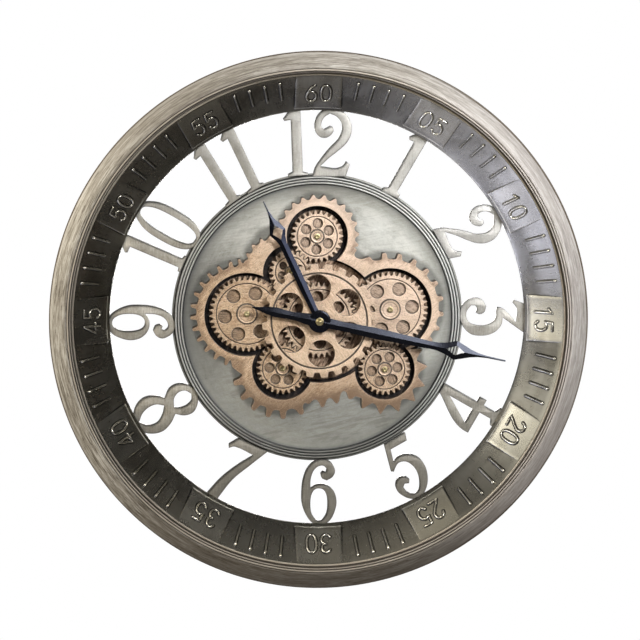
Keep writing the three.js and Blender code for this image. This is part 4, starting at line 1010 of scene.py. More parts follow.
# runs of teeth clockwise round the surround: centre, angles, root radius and tip radius at the first and last tooth, shape
EDGE = [
    (A_C, [-67, -51.8, -36.5, -21.2, -5.9, 10, 25.9, 41.2, 56.5, 71.2, 87, 102.4], (37.1, 37.6), (41.3, 41.8), WAVE),
    [(357.2, 249.6), (354.4, 253.4), (354.4, 256.4), (357.6, 258.7), (361, 259.3), (364.2, 258.6), (368.4, 257.0), (370.8, 257.6), (372.2, 260.2), (375.5, 261.0)],
    (F_C, [-6, 10.2, 26.8, 43.4, 60.1, 77.8, 95.2, 111.9, 127.3], (50.7, 47.9), (57.0, 52.7), TAB),
    (E_C, [60.6, 84.7, 111.2, 135.3, 160.6, 185.3, 210.6], (33.6, 34.6), (42.6, 44.0), SPIKE),
    [(362.5, 399.6), (359.5, 398.0), (355.2, 396.4), (352.8, 399.4), (349.0, 400.0), (347.4, 396.4), (346.6, 392.8), (344.2, 391.2), (341.4, 392.6), (340.2, 396.5), (338.9, 402.8), (336.5, 404.2),
     (334.4, 402.0), (332.3, 399.2), (329.6, 398.2), (327, 399.6), (325.6, 403.5), (324.0, 407.5), (321.0, 407.5), (319.5, 403.5), (317.3, 400.4), (314.6, 399.6), (311.8, 401.1), (310.0, 404.0),
     (307.0, 404.0), (305.4, 402.6), (303.4, 404.6), (302.9, 407.5), (304.2, 411.4), (303.2, 414.8), (299.8, 415.2), (297.6, 411.8), (294.5, 409.2), (291, 408.8)],
    (D_C, [178.5, 196.8, 216.3, 234.3, 254.2], (40.9, 41.4), (49.6, 50.2), BLUNT),
    [(242.8, 374.6), (237.4, 370.6), (232.0, 366.2)],
    (C_C, [201.3, 214.3, 227.2, 240.8, 253.2, 266, 278.9, 292.1, 305, 317.5, 330.4], (48.4, 48.6), (54.9, 54.7), SLIM),
    [(228.5, 267.6), (229.4, 265.6), (229.2, 263.2), (230.0, 261.6), (231.8, 261.0), (233.0, 262.0), (233.5, 264.7), (234.7, 266.8), (236.7, 266.3), (238.8, 264.6), (238.9, 262.6), (238.0, 260.3),
     (238.7, 259.0), (240.4, 258.6), (241.2, 260.0), (242.0, 262.0), (243.2, 262.9), (244.4, 262.0), (245.1, 260.3), (246.9, 259.8), (248.3, 258.8), (248.0, 257.0), (246.9, 255.4), (246.5, 253.7),
     (248.0, 252.8), (250.0, 253.3), (251.9, 252.8), (253.0, 250.7), (253.0, 248.6), (252.0, 246.4), (252.5, 244.7), (254.6, 244.2), (256.0, 245.1), (257.4, 245.1), (259.3, 243.6), (260.5, 242.0),
     (260.1, 239.8), (261.0, 238.4), (262.7, 238.8), (264.0, 240.5), (266.3, 240.5), (267.9, 239.0), (269.1, 237.2), (271.0, 235.0), (273.6, 229.0)],
]


ROUNDS = [(run[0], run[2][0], run[3][0]) for run in EDGE if not isinstance(run, list)] + [(B_C, 45.3, 48.7)]


def from_px(p):
    return ((p[0] - HUB[0]) * BPX, (HUB[1] - p[1]) * BPX)


def bezel_line():
    out = []
    for run in EDGE:
        if isinstance(run, list):
            out += [from_px(p) for p in run]
            continue
        c, at, root, tip, shape = run
        c = from_px(c)
        for k, t in enumerate(at):
            f = k / (len(at) - 1)
            r0, r1 = root[0] + (root[1] - root[0]) * f, tip[0] + (tip[1] - tip[0]) * f
            out += [clock(t + a, (r0 + (r1 - r0) * h) * BPX, c) for a, h in shape]
    return chaikin(out, 2)


# ---------------------------------------------------------------- dial pan
pan = [(147.3, 16.3), (147.3, 17.3), (146.9, 17.7), (145.6, 17.7), (145.1, 18.0), (144.75, 18.6), (144.65, 21.6)]
pan += bead(143.35, 22.1, 1.28, -10, 190, 10)
pan += [(141.95, 20.9)]
pan += bead(140.55, 22.1, 1.28, -10, 190, 10)
pan += [(139.15, 20.8)] + bead(137.75, 21.7, 1.28, -10, 190, 10)
pan += [(136.35, 20.3), (135.6, 20.0), (120, 20.0), (100, 20.0), (80, 20.0), (60, 20.0), (30, 20.0), (7.0, 20.0), (7.0, 18.6), (136.2, 18.6), (139.1, 20.0), (142.6, 20.0), (143.2, 16.3)]
PAN = m_pan([(from_px(c), tip * BPX) for c, root, tip in ROUNDS] + [((0.0, 0.0), 80.0)])
pan_v, pan_f = lathe(pan, 300)
pan_v[:, 0] *= PAN_WIDE
Geo().add((pan_v, pan_f)).obj("dial_pan_ridged", PAN, "frame", ["dial_pan"], "pan", 35)

def beside(g, dx, dy):
    return (AT[g][0] + dx, AT[g][1] + dy)


WELLS = [(AT["top"], 31.0), (AT["idler"], 28.0), (beside("left", -0.7, -0.5), 42.3), (beside("lowleft", 0.0, -0.7), 31.0), (AT["lowright"], 30.4), (AT["right"], 42.1), (AT["centre"], 63.4)]


def union_line(rounds, step=1.2):
    """the boundary loops of round wells that run into each other"""
    arcs = []
    for i, (c, r) in enumerate(rounds):
        cuts = []
        for j, (d, s) in enumerate(rounds):
            if i == j:
                continue
            dist = math.hypot(d[0] - c[0], d[1] - c[1])
            if abs(r - s) < dist < r + s:
                base = math.atan2(d[1] - c[1], d[0] - c[0])
                h = math.acos((r * r + dist * dist - s * s) / (2 * r * dist))
                cuts += [(base - h) % TAU, (base + h) % TAU]
        cuts.sort()
        for a, b in zip(cuts, cuts[1:] + [cuts[0] + TAU]):
            m = (a + b) / 2
            p = (c[0] + r * math.cos(m), c[1] + r * math.sin(m))
            if all(math.hypot(p[0] - d[0], p[1] - d[1]) >= s - 1e-6 for j, (d, s) in enumerate(rounds) if j != i):
                n = max(2, int(math.ceil((b - a) * r / step)))
                arcs.append([(c[0] + r * math.cos(a + (b - a) * k / n), c[1] + r * math.sin(a + (b - a) * k / n)) for k in range(n + 1)])
    loops = []
    while arcs:
        line = arcs.pop(0)
        while math.hypot(line[-1][0] - line[0][0], line[-1][1] - line[0][1]) > 1e-3:
            k = min(range(len(arcs)), key=lambda q: math.hypot(arcs[q][0][0] - line[-1][0], arcs[q][0][1] - line[-1][1]))
            line += arcs.pop(k)[1:]
        loops.append(line[:-1])
    return sorted(loops, key=len, reverse=True)


BEZEL = m_bronze("bezel_bronze", 0.7, 1.10, edge=[(from_px(c), root * BPX - 1.0) for c, root, tip in ROUNDS] + [((0.0, 0.0), 77.0)])
wells = union_line(WELLS)
Geo().add(plate(bezel_line(), wells[:1], 29.5, 48.5, 0.5, 3)).obj("gear_bezel_cast", BEZEL, "frame", ["gear_bezel"], "bronze", 40)

plate_holes = [circle((0, 0), 9.8, 40)] + [circle(AT[g], 2.9, 20) for g in OUTER]
floor_line = union_line([(from_px(c), root * BPX - (5.0 if c == B_C else 2.6)) for c, root, tip in ROUNDS] + [((0.0, 0.0), 71.0)])[0]
Geo().add(plate(floor_line, plate_holes, 36.0, 38.5, 0.25)).obj("gear_plate_floor", FLOOR, "frame", ["gear_plate"], "floor", 40)

for i, p in enumerate(PILLARS):
    prof = [(0, 17.2), (3.6, 17.2), (4.0, 17.5), (4.0, 18.3), (1.9, 18.3), (1.9, 20.2), (4.2, 20.2), (4.5, 20.5), (4.5, 22.4), (3.9, 23.0), (3.9, 33.0), (4.5, 33.6), (4.5, 35.5), (4.2, 35.8), (2.2, 35.8), (2.2, 37.6), (1.9, 37.9), (0, 37.9)]
    Geo().add(lathe(prof, 28, p, False)).obj(f"pillar_{i + 1}_turned", STEEL, "frame", [f"pillar_{i + 1}"], "steel")
for g in OUTER:
    prof = [(0, 34.4), (3.7, 34.4), (4.0, 34.7), (4.0, 35.7), (2.5, 35.7), (2.5, 46.8), (2.8, 46.8), (3.0, 47.0), (3.0, 47.5), (2.7, 47.9), (2.1, 48.1), (1.5, 48.1), (1.2, 47.8), (0.9, 47.7), (0, 47.6)]
    Geo().add(lathe(prof, 28, AT[g], False)).obj(f"stud_{g}_turned", BRASS, "frame", ["stud_" + g], "brass")

# ---------------------------------------------------------------- gears
HOLES = {
    "top": (5.3, 13.2, 27, 6.4, 20.3), "lowleft": (5.3, 13.2, 57, 6.4, 20.3), "lowright": (5.3, 13.2, 8, 6.4, 20.3), "idler": (3.9, 9.8, 20, 5.0, 15.4),
    "left": (7.1, 22.4, 67, 9.7, 30.9), "right": (7.1, 22.4, 66, 9.7, 30.9), "centre": (6.1, 23.6, 33, 9.0, 31.2),
}


def gear_faces(g):
    """toothed ring, web with six holes and the groove between them"""
    r, at, turn, boss, groove = HOLES[g]
    c = AT[g]
    bore = 7.6 if g == "centre" else 2.8
    six = [circle((c[0] + at * math.cos(math.radians(turn + 60 * i)), c[1] + at * math.sin(math.radians(turn + 60 * i))), r, 32) for i in range(6)]
    geo = Geo()
    geo.add(plate(gear_line(TEETH[g], M, c, TURN[g]), [circle(c, groove + 0.42, 96)], 40.0, 45.0, 0.28))
    geo.add(plate(circle(c, groove - 0.42, 96), [circle(c, bore, 32), *six], 40.0, 45.0, 0.28))
    geo.add(lathe([(groove - 1.4, 40.3), (groove - 1.4, 44.1), (groove + 1.4, 44.1), (groove + 1.4, 40.3)], 96, c))
    if g != "centre":
        for i in range(6):
            a = math.radians(turn + 60 * i)
            geo.add(lathe([(0, 40.4), (r + 0.5, 40.4), (r + 0.5, 41.7), (0, 41.7)], 32, (c[0] + at * math.cos(a), c[1] + at * math.sin(a)), False))
    return geo


GEARS = {}
for n, g in enumerate(["centre", *OUTER]):
    hole_r, hole_at, hole_turn, boss, groove = HOLES[g]
    # painted shade: the groove ring is darker on the gears to the left; the top gear is a lighter copy, painted light
    lines = [(groove, 0.8, 0.72 if g in ("left", "lowleft", "centre", "idler") else 0.5)] + ([(boss + 0.45, 1.15, 0.98), (boss - 2.3, 0.6, 0.5)] if g != "centre" else [])
    GEARS[g] = m_bronze("gear_bronze_" + g, 0.5 + 0.9 * n, 1.22 if g == "top" else 1.06, AT[g], lines, M * TEETH[g] / 2 - 1.2 * M)
WHEEL = m_bronze("wheel_bronze", 2.2, 1.12, (0.0, 0.0), [(48.4, 1.25, 0.97)], 53.0)
for g in OUTER:
    geo = gear_faces(g)
    b = HOLES[g][3]
    c = AT[g]
    w = 1.35 if b > 8 else 1.05
    prof = [(2.8, 44.6), (2.8, 45.7), (b * 0.52, 45.7), (b * 0.62, 45.95), (b - w - 0.5, 46.0), (b - w, 46.35), (b - 0.35, 46.5), (b, 46.2), (b, 44.0), (b + 0.75, 44.0), (b + 0.75, 44.6)]
    geo.add(lathe(prof, 64, c))
    geo.obj(f"gear_{g}_cast", GEARS[g], "g_" + g, ["gear_" + g], "bronze", 35)

geo = gear_faces("centre")
geo.add(lathe([(6.3, 24.0), (9.0, 24.0), (9.0, 50.4), (7.4, 50.4), (7.4, 54.4), (6.3, 54.4)], 48))
geo.obj("gear_centre_cast", GEARS["centre"], "centre", ["gear_centre"], "bronze", 35)

teeth = []
for i in range(24):
    a = 9.8 + 15 * i
    teeth += [clock(a - 4.7, 52.9), clock(a - 3.5, 58.1), clock(a + 3.5, 58.1), clock(a + 4.7, 52.9)]
windows = [circle(clock(-3.5 + 60 * i, 33.5), 13.8, 56) for i in range(6)]
geo = Geo()
geo.add(plate(fillet(teeth, 0.9), [circle((0, 0), 49.2, 144)], 50.6, 54.6, 0.4, 3))
geo.add(plate(circle((0, 0), 47.7, 144), [circle((0, 0), 7.8, 40), *windows], 50.6, 54.6, 0.4, 3))
geo.add(lathe([(46.9, 50.9), (46.9, 53.2), (50.0, 53.2), (50.0, 50.9)], 144))
geo.obj("centre_wheel_cast", WHEEL, "centre", ["centre_wheel"], "bronze", 35)

Geo().add(plate(gear_line(24, 1.625, (0, 0), 0.0), [circle((0, 0), 9.3, 40)], 24.2, 27.2, 0.2)).obj("drive_wheel_moulded", NYLON, "centre", ["drive_wheel"], "nylon")
turn = mesh_turn((0, 0), 24, PINION_AT, 8, 0.0)
geo = Geo().add(plate(gear_line(8, 1.625, PINION_AT, turn, 0.85, 1.2, 0.08, 0.26), [], 23.9, 27.5, 0.2))
geo.add(lathe([(0, 9.6), (1.5, 9.6), (1.5, 27.5), (1.3, 27.8), (0, 27.8)], 24, PINION_AT, False))
geo.obj("drive_pinion_moulded", NYLON, "pinion", ["drive_pinion"], "nylon")

# ---------------------------------------------------------------- hands
HAND_PX = 1.01


def hand(hub, fore, aft, hole, bore, deg, z0, edge, slope, hub_top):
    """a blade with two facets that fall from its middle ridge, pierced by a lozenge, on a round hub"""
    a = math.radians(deg)

    def put(l, w, z):
        l, w = l * HAND_PX, w * HAND_PX
        return (l * math.sin(a) + w * math.cos(a), l * math.cos(a) - w * math.sin(a), z)

    geo = Geo()
    for prof, pierced in ((fore, True), (aft, False)):
        if not prof:
            continue
        sign = 1 if prof[0][0] > 0 else -1
        st = [(sign * 3.0, prof[0][1])] + list(prof)
        ls = {abs(l) for l, _ in st}
        if pierced:
            ls |= {h[0] for h in hole}
        ls = sorted(ls)
        xs, ws = [abs(l) for l, _ in st], [w for _, w in st]
        width = [float(np.interp(l, xs, ws)) for l in ls]
        open_w = [float(np.interp(l, [h[0] for h in hole], [h[1] for h in hole], 0.0, 0.0)) if pierced else 0.0 for l in ls]
        for side in (1, -1):
            v, f = [], []
            for l, w, o in zip(ls, width, open_w):
                zi = edge + slope * (w - o) * HAND_PX
                v += [put(sign * l, side * w, z0), put(sign * l, side * w, edge), put(sign * l, side * o, zi), put(sign * l, side * o, z0)]
            n = len(ls)
            for i in range(n - 1):
                for j in range(4):
                    j2 = (j + 1) % 4
                    if j == 2 and open_w[i] == 0 and open_w[i + 1] == 0:
                        continue
                    f.append((4 * i + j, 4 * i + j2, 4 * i + 4 + j2, 4 * i + 4 + j))
            f.append((0, 1, 2, 3))
            f.append((4 * n - 4, 4 * n - 3, 4 * n - 2, 4 * n - 1))
            geo.add((v, f))
    h = hub * HAND_PX
    geo.add(lathe([(bore, z0), (h - 0.3, z0), (h, z0 + 0.3), (h, hub_top - 0.9), (h - 0.5, hub_top - 0.35), (h - 1.6, hub_top), (bore, hub_top)], 72))
    return geo


hand(11.3,
     [(10.6, 3.6), (40, 4.5), (86, 3.9), (92, 5.4), (98.7, 8.6), (106, 5.6), (113, 2.4), (121, 0.9), (132.5, 0.5)],
     [], [(90.5, 0), (98.6, 5.4), (106.5, 0)], 4.1, 335.0, 57.0, 57.5, 0.36, 59.0).obj("hour_hand_blade", HAND, "hour", ["hour_hand"], "hand", 8)
hand(11.3,
     [(10.4, 5.2), (16, 5.0), (24, 4.7), (30, 4.8), (55, 5.6), (80, 5), (115, 3.8), (122, 4.2), (130, 6), (139.5, 9.8), (148, 6.7), (155, 4), (163, 2), (172, 1.1), (191, 0.8)],
     [(-10, 5.9), (-16, 5.3), (-25, 3.9), (-34, 4.2), (-45, 5), (-53, 3.9), (-60, 2.2), (-69, 0.6)],
     [(130, 0), (140, 5), (148.5, 0)], 2.2, 102.3, 61.0, 61.4, 0.34, 62.9).obj("minute_hand_blade", HAND, "minute", ["minute_hand"], "hand", 8)

nut = [(0, 63.0), (4.0, 63.0), (4.0, 63.6), (3.4, 63.9), (3.3, 65.3), (3.1, 65.7), (2.6, 66.1), (2.3, 66.1), (2.1, 65.8), (1.9, 65.9), (1.8, 66.9), (1.5, 67.4), (0.8, 67.75), (0, 67.8)]
geo = Geo().add(lathe(nut, 40, (0, 0), False))
for i in range(18):
    a = TAU * i / 18
    geo.add(tube([(3.25 * math.cos(a), 3.25 * math.sin(a), z) for z in (63.9, 64.5, 65.3)], (math.cos(a), math.sin(a), 0), 0.30, False, 6))
geo.obj("hand_nut_knurled", BRASS, "minute", ["hand_nut"], "brass")

bush = [(4.1, 15.4), (8.0, 15.4), (8.0, 16.8), (5.9, 16.8), (5.9, 20.3), (9.0, 20.3), (9.2, 20.6), (9.2, 22.9), (9.0, 23.2), (5.9, 23.2), (5.9, 49.7), (5.6, 50.0), (4.1, 50.0)]
Geo().add(lathe(bush, 40)).obj("centre_bush_turned", STEEL, "frame", ["centre_bush"], "steel")
geo = Geo().add(plate(gear_line(32, 0.6, (0, 0), 0.0), [circle((0, 0), 3.1, 24)], 13.4, 14.9, 0.12))
geo.add(lathe([(2.2, 13.4), (3.8, 13.4), (3.8, 58.3), (3.5, 58.6), (2.2, 58.6)], 32))
geo.obj("hour_wheel_moulded", NYLON, "hour", ["hour_wheel"], "nylon")
geo = Geo().add(plate(gear_line(8, 0.75, (0, 0), 0.0), [], 9.6, 11.5, 0.1))
geo.add(lathe([(0, 3.2), (1.5, 3.2), (1.7, 3.4), (1.7, 62.4), (1.5, 62.6), (0, 62.6)], 24, (0, 0), False))
geo.obj("minute_arbor_turned", STEEL, "minute", ["minute_arbor"], "steel")
big = mesh_turn((0, 0), 8, INTER_AT, 24, 0.0)
small = mesh_turn((0, 0), 32, INTER_AT, 8, 0.0)
geo = Geo().add(plate(gear_line(24, 0.75, INTER_AT, big), [], 9.8, 11.3, 0.12))
geo.add(plate(gear_line(8, 0.6, INTER_AT, small), [], 11.0, 15.2, 0.1))
geo.add(lathe([(0, 15.0), (1.1, 15.0), (1.1, 16.5), (0.9, 16.7), (0, 16.7)], 20, INTER_AT, False))
geo.obj("setting_wheel_moulded", NYLON, "setting", ["setting_wheel"], "nylon")
geo = Geo().add(lathe([(0, 0.9), (4.2, 0.9), (4.6, 0.7), (5.9, 0.7), (6.1, 0.85), (6.1, 1.75), (5.9, 1.9), (2, 1.9), (2, 9.5), (0, 9.5)], 48, INTER_AT, False))
for i in range(30):
    a = TAU * i / 30
    geo.add(tube([(INTER_AT[0] + 6.0 * math.cos(a), INTER_AT[1] + 6.0 * math.sin(a), z) for z in (1.0, 1.3, 1.6)], (math.cos(a), math.sin(a), 0), 0.2, False, 6))
geo.obj("setting_knob_ribbed", PLASTIC, "setting", ["setting_knob"], "plastic")

# ---------------------------------------------------------------- movement
X, Y0, Y1 = 46.0, -78.0, 46.0
geo = Geo().add(plate(rect(-X, X, Y0, Y1, 4), [rect(-X + 1.8, X - 1.8, Y0 + 1.8, Y1 - 1.8, 2.4)], 2.4, 17.4, 0.25))
geo.add(plate(rect(-X, X, Y0, Y1, 4), [circle((0, 0), 6.3, 32), circle(PINION_AT, 2.4, 20)], 17.0, 18.3, 0.45))
for x in (-30, -10, 10, 30):
    geo.add(plate(rect(x - 0.6, x + 0.6, Y0 - 0.0, Y0 + 2.2, 0.4), [], 4.0, 16.0, 0.2))
geo.obj("movement_case_moulded", PLASTIC, "frame", ["movement_case"], "plastic")
geo = Geo().add(plate(rect(-X, X, Y0, Y1, 4), [rect(-34, 34, -73.4, -41, 1.5), circle(INTER_AT, 7, 48)], 0.6, 2.1, 0.3))
geo.add(lathe([(7.3, 0.25), (8.4, 0.25), (8.7, 0.5), (8.7, 1.0), (7.3, 1.0)], 56, INTER_AT))
for sx, sy in ((-40, 40), (40, 40), (-40, -36), (40, -36)):
    geo.add(lathe([(0, 0.2), (2.2, 0.2), (2.7, 0.45), (2.7, 1.0), (0, 1.0)], 28, (sx, sy), False))
for i in range(9):
    geo.add(plate(rect(-18, 18, 24.5 + 1.9 * i, 25.3 + 1.9 * i, 0.35, 3), [], 0.3, 1.0, 0.15, 1))
geo.obj("movement_cover_moulded", PLASTIC, "frame", ["movement_cover"], "plastic")
screws = Geo()
for sx, sy in ((-40, 40), (40, 40), (-40, -36), (40, -36)):
    screws.add(lathe([(0, 0.05), (1.4, 0.05), (1.75, 0.15), (1.75, 0.6), (0, 0.6)], 20, (sx, sy), False))
screws.obj("cover_screws", STEEL, "frame", (), "steel")
geo = Geo().add(plate(rect(-33.6, 33.6, -73, -41.4, 1.2), [], 0.6, 2.1, 0.3))
for i in range(6):
    geo.add(plate(rect(-11, 11, -48.0 + 1.0 * i, -47.5 + 1.0 * i, 0.2, 2), [], 0.25, 0.9, 0.12, 1))
geo.add(plate([(-4, -51.5), (4, -51.5), (0, -55.5)], [], 0.3, 0.9, 0.12, 1))
geo.obj("battery_door_moulded", PLASTIC, "door", ["battery_door"], "plastic")
geo = Geo().add(plate(rect(42.5, 47.2, -18.6, -14.6, 0.5, 3), [], 6.3, 9.7, 0.3))
for i in range(3):
    geo.add(plate(rect(46.8, 47.6, -18.1 + 1.2 * i, -17.5 + 1.2 * i, 0.2, 2), [], 6.5, 9.5, 0.12, 1))
geo.obj("gear_switch_moulded", NYLON, "switch", ["gear_switch"], "nylon")


def along_x(profile, seg, y, z, flip):
    pr = np.asarray(profile, float)
    v, f = lathe([(r, h) for r, h in pr], seg, (0, 0), False)
    s = -1.0 if flip else 1.0
    return np.stack([s * v[:, 2], v[:, 0] + y, v[:, 1] + z], 1), f


for i, (name, y) in enumerate((("cell_clock", -49.6), ("cell_gears", -65.2))):
    prof = [(0, -24.5), (6.0, -24.5), (6.8, -24.2), (7.1, -23.6), (7.1, 23.4), (6.8, 24.0), (6.2, 24.3), (2.9, 24.5), (2.7, 24.6), (2.7, 25.5), (2.4, 25.9), (0, 25.9)]
    Geo().add(along_x(prof, 48, y, 9.6, bool(i))).obj(name + "_sleeved", CELL, "frame", [name], "cell")
springs = Geo()
for y, s in ((-49.6, 1), (-65.2, -1)):
    pts = []
    for k in range(60):
        a = TAU * k / 15
        r = 4.6 - 1.6 * k / 60
        pts.append((-s * (25.2 + 9.0 * (1 - k / 59)), y + r * math.cos(a), 9.6 + r * math.sin(a)))
    p = np.array(pts)
    t = np.gradient(p, axis=0)
    t /= np.linalg.norm(t, axis=1)[:, None]
    v, f = [], []
    for q, d in zip(p, t):
        n1 = np.cross(d, (1.0, 0, 0))
        n1 /= np.linalg.norm(n1)
        n2 = np.cross(d, n1)
        for j in range(6):
            a = TAU * j / 6
            v.append(q + 0.32 * (n1 * math.cos(a) + n2 * math.sin(a)))
    for k in range(len(p) - 1):
        for j in range(6):
            f.append((6 * k + j, 6 * k + (j + 1) % 6, 6 * k + 6 + (j + 1) % 6, 6 * k + 6 + j))
    f += [tuple(range(6)), tuple(range(6 * len(p) - 6, 6 * len(p)))]
    springs.add((np.array(v), f))
springs.obj("battery_springs", STEEL, "frame", (), "steel")

geo = Geo().add(plate(rect(-13, 13, -39, -15, 2), [circle(PINION_AT, 2.0, 20)], 9.2, 16.6, 0.5))
geo.add(plate(rect(-13, 13, -39, -15, 2), [], 4.5, 9.6, 0.5))
geo.add(lathe([(0, 4.2), (5.0, 4.2), (5.6, 4.6), (5.6, 5.2), (0, 5.2)], 32, PINION_AT, False))
geo.obj("gear_motor_can", STEEL, "frame", ["gear_motor"], "steel")
geo = Geo().add(plate(rect(-38, -14, 8, 26, 1.2), [], 6.0, 15.0, 0.4))
geo.add(plate(rect(-34, -25, 10.5, 23.5, 1.0), [], 5.2, 7.0, 0.3))
geo.obj("stepper_motor_can", STEEL, "frame", ["stepper_motor"], "steel")
geo = Geo().add(plate(rect(14, 42, -6, 36, 0.8), [circle((17, -3), 1.2, 16), circle((39, 33), 1.2, 16)], 14.4, 15.8, 0.15))
geo.obj("circuit_board_lacquered", BOARD, "frame", ["circuit_board"], "board")
chips = Geo()
for x0, x1, y0, y1, z in ((22, 30, 10, 20, 12.6), (33, 39, 4, 8, 13.2), (18, 21, 24, 32, 12.9), (33, 38, 22, 30, 12.2)):
    chips.add(plate(rect(x0, x1, y0, y1, 0.4, 3), [], z, 14.6, 0.2, 1))
chips.obj("board_parts", PLASTIC, "frame", (), "plastic")

# ---------------------------------------------------------------- hanger and wall pads
entry = []
for i in range(25):
    a = math.radians(118 + 304 * i / 24)
    entry.append((5.6 * math.cos(a), HOOK_R - 11.4 + 5.6 * math.sin(a)))
slot = [(-2.6, HOOK_R), *entry, (2.6, HOOK_R)]
geo = Geo().add(plate(rect(-20, 20, HOOK_R - 21.5, HOOK_R + 6, 2.5), [slot], 2.2, 4.2, 0.3))
geo.add(plate(rect(-20, 20, HOOK_R + 4, HOOK_R + 6, 0.8, 3), [], 3.0, 16.0, 0.3))
for x in (-14, 14):
    geo.add(lathe([(0, 1.3), (1.6, 1.35), (2.6, 1.7), (3.0, 2.3), (3.0, 2.6), (0, 2.6)], 28, (x, HOOK_R - 3), False))
geo.obj("hanger_plate_pressed", STEEL, "frame", ["hanger_plate"], "steel")
for name, deg in (("wall_pad_left", 210), ("wall_pad_right", 150)):
    a = math.radians(deg)
    line = [(x * math.cos(a) + y * math.sin(a), -x * math.sin(a) + y * math.cos(a)) for x, y in rect(-14, 14, 250, 264, 3)]
    Geo().add(plate(line, [], 0.0, 1.7, 0.5)).obj(name + "_soft", RUBBER, "frame", [name], "pad")

# ---------------------------------------------------------------- camera
scene = bpy.context.scene
P0 = Vector((0.0, -0.0368, -0.241))
AZ, EL, DIST = math.radians(-3.1), math.radians(5.6), 3.6
cam_data = bpy.data.cameras.new("camera")
cam_data.sensor_fit = "HORIZONTAL"
cam_data.sensor_width = 36.0
cam_data.lens = 18.0 / math.tan(math.radians(10.31 / 2))
cam_data.clip_start, cam_data.clip_end = 0.05, 50.0
cam = bpy.data.objects.new("camera", cam_data)
scene.collection.objects.link(cam)
aim = P0 + Vector((0.0015, 0.0, -0.0005))
cam.location = P0 + DIST * Vector((math.sin(AZ) * math.cos(EL), -math.cos(AZ) * math.cos(EL), math.sin(EL)))
cam.rotation_mode = "QUATERNION"
cam.rotation_quaternion = (aim - cam.location).to_track_quat("-Z", "Y")
scene.camera = cam


# ---------------------------------------------------------------- light
def softbox(name, at, to, w, h, power, color=(1, 1, 1), spread=180):
    d = bpy.data.lights.new(name, "AREA")
    d.shape, d.size, d.size_y, d.energy, d.color = "RECTANGLE", w, h, power, color
    d.spread = math.radians(spread)
    o = bpy.data.objects.new(name, d)
    o.location = at
    o.rotation_mode = "QUATERNION"
    o.rotation_quaternion = (Vector(to) - Vector(at)).to_track_quat("-Z", "Y")
    o.visible_camera = False
    scene.collection.objects.link(o)
    return o


key = softbox("upper_right", (0.62, -1.00, 0.38), (0.20, -0.03, -0.07), 0.6, 0.6, 2.30, (0.92, 0.945, 1.0), 38)
sheen = softbox("upper_right_pan", (0.62, -1.00, 0.38), (0.25, -0.03, -0.03), 0.6, 0.6, 2.65, (0.92, 0.96, 1.0), 38)
near = softbox("near_left", (-1.16, -0.50, 0.30), (0.0, -0.05, -0.22), 0.5, 0.7, 13.2, (1.0, 0.94, 0.81))
# the sloped band is a mirror for the studio's sides, so it has lights of its own
band_only = [softbox("band_low_left", (-0.66, 0.0, -0.96), (0.16, -0.05, -0.10), 0.5, 1.3, 23.0, (0.68, 0.73, 1.0)),
             softbox("band_left", (-1.18, -0.46, 0.0), (0.2, -0.05, -0.26), 0.25, 0.95, 4.6, (1.0, 0.985, 0.92)),
             softbox("band_high_left", (-0.60, -0.62, 0.74), (0.05, -0.05, -0.36), 0.5, 0.5, 0.55, (1.0, 0.96, 0.84)),
             softbox("band_above", (-0.28, -0.38, 1.05), (0.0, -0.05, -0.46), 1.0, 0.4, 0.2, (1.0, 0.95, 0.82))]
raised = softbox("figure_edge", (-0.85, -1.25, 0.62), (0.0, -0.05, -0.24), 0.3, 0.3, 7.0, (1.0, 0.98, 0.93))
fill = [softbox("left_fill", (-0.72, -0.80, -0.16), (-0.22, -0.04, -0.24), 0.35, 0.35, 4.4, (1.0, 0.93, 0.80)),
        softbox("right_fill", (0.72, -0.80, -0.12), (0.22, -0.04, -0.20), 0.35, 0.35, 1.6, (0.93, 0.97, 1.0))]
facet = softbox("hour_hand_facet", (0.74, -0.98, 0.02), (0.0, -0.06, -0.20), 0.7, 0.6, 9.0, (0.66, 0.72, 1.0))
softbox("behind", (0.08, 1.8, -0.26), (0.0, 0.0, -0.26), 0.5, 0.5, 24.0, (1.0, 0.98, 0.95))
low_fill = softbox("low_left_fill", (-0.74, -0.76, -0.42), (-0.24, -0.04, -0.30), 0.35, 0.35, 1.2, (1.0, 0.94, 0.82))
blades = bpy.data.collections.new("hour_hand_only")
marks = bpy.data.collections.new("raised_marks")
sheets = bpy.data.collections.new("numeral_sheets")
pale = bpy.data.collections.new("fill_receivers")
pan_only = bpy.data.collections.new("pan_only")
no_pan = bpy.data.collections.new("all_but_the_pan")
lit = bpy.data.collections.new("band_receivers")
rest = bpy.data.collections.new("all_but_the_band")
block = bpy.data.collections.new("band_blockers")
for o in scene.objects:
    if o.name in ("minute_band_cone", "minute_band_panels", "minute_figures", "minute_ticks", "minute_tick_ends", "minute_panel_lips", "minute_outlines"):
        lit.objects.link(o)
        rest.objects.link(o)
    if o.name in ("minute_figures", "minute_ticks", "minute_tick_ends"):
        marks.objects.link(o)
    if o.name.startswith("numeral_") and o.name.endswith("_sheet"):
        block.objects.link(o)
        sheets.objects.link(o)
    if o.name in ("outer_rim_crowned", "minute_band_hem"):
        pale.objects.link(o)
    if o.name == "hour_hand_blade":
        blades.objects.link(o)
    if o.name == "dial_pan_ridged":
        pan_only.objects.link(o)
        no_pan.objects.link(o)
for group in (rest, no_pan):
    for link in group.collection_objects:
        link.light_linking.link_state = "EXCLUDE"
near.light_linking.receiver_collection = rest
raised.light_linking.receiver_collection = marks
facet.light_linking.receiver_collection = blades
low_fill.light_linking.receiver_collection = pale
for o in fill:
    o.light_linking.receiver_collection = sheets
key.light_linking.receiver_collection = no_pan
sheen.light_linking.receiver_collection = pan_only
sheen.light_linking.blocker_collection = block
for o in band_only:
    o.light_linking.receiver_collection = lit
band_only[0].light_linking.blocker_collection = block

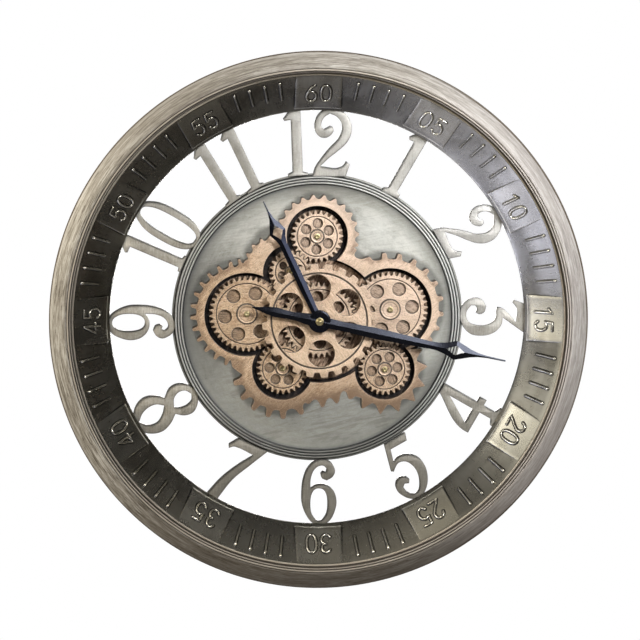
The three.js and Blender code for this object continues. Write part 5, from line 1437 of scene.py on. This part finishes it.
w = bpy.data.worlds.new("studio")
scene.world = w
w.use_nodes = True
t = w.node_tree
t.nodes.clear()
out = t.nodes.new("ShaderNodeOutputWorld")
mixer = t.nodes.new("ShaderNodeMixShader")
path = t.nodes.new("ShaderNodeLightPath")
white = t.nodes.new("ShaderNodeBackground")
white.inputs[0].default_value = (1, 1, 1, 1)
white.inputs[1].default_value = 1.0
room = t.nodes.new("ShaderNodeBackground")
room.inputs[1].default_value = 1.0
tc = t.nodes.new("ShaderNodeTexCoord")
dot = t.nodes.new("ShaderNodeVectorMath")
dot.operation = "DOT_PRODUCT"
dot.inputs[1].default_value = Vector((-0.70, -0.45, 0.55)).normalized()
t.links.new(tc.outputs["Generated"], dot.inputs[0])
mr = t.nodes.new("ShaderNodeMapRange")
mr.inputs[1].default_value, mr.inputs[2].default_value = -0.55, 0.95
mr.inputs[3].default_value, mr.inputs[4].default_value = 0.0, 1.0
t.links.new(dot.outputs["Value"], mr.inputs[0])
grad = t.nodes.new("ShaderNodeValToRGB")
grad.color_ramp.elements[0].color = (0.018, 0.0175, 0.017, 1)
grad.color_ramp.elements[1].color = (0.22, 0.22, 0.23, 1)
t.links.new(mr.outputs[0], grad.inputs[0])
t.links.new(grad.outputs[0], room.inputs[0])
t.links.new(path.outputs["Is Camera Ray"], mixer.inputs[0])
t.links.new(room.outputs[0], mixer.inputs[1])
t.links.new(white.outputs[0], mixer.inputs[2])
t.links.new(mixer.outputs[0], out.inputs[0])

scene.view_settings.view_transform = "Standard"
scene.view_settings.look = "None"

# ---------------------------------------------------------------- floor
fl = Nodes("floor_pale")
n1 = fl.noise(fl.flat(0.004, 0.004, 0.004), 1.0, 3.0, 0.5)
floor_mat = fl.done(fl.mix(n1, (0.80, 0.80, 0.79), (0.86, 0.86, 0.85)), 0.7)
fm = bpy.data.meshes.new("floor")
seg = 96
fm.from_pydata([(0.92 * math.cos(TAU * i / seg), 0.92 * math.sin(TAU * i / seg), -0.98) for i in range(seg)], [], [tuple(range(seg))])
fm.materials.append(floor_mat)
floor = bpy.data.objects.new("floor", fm)
scene.collection.objects.link(floor)
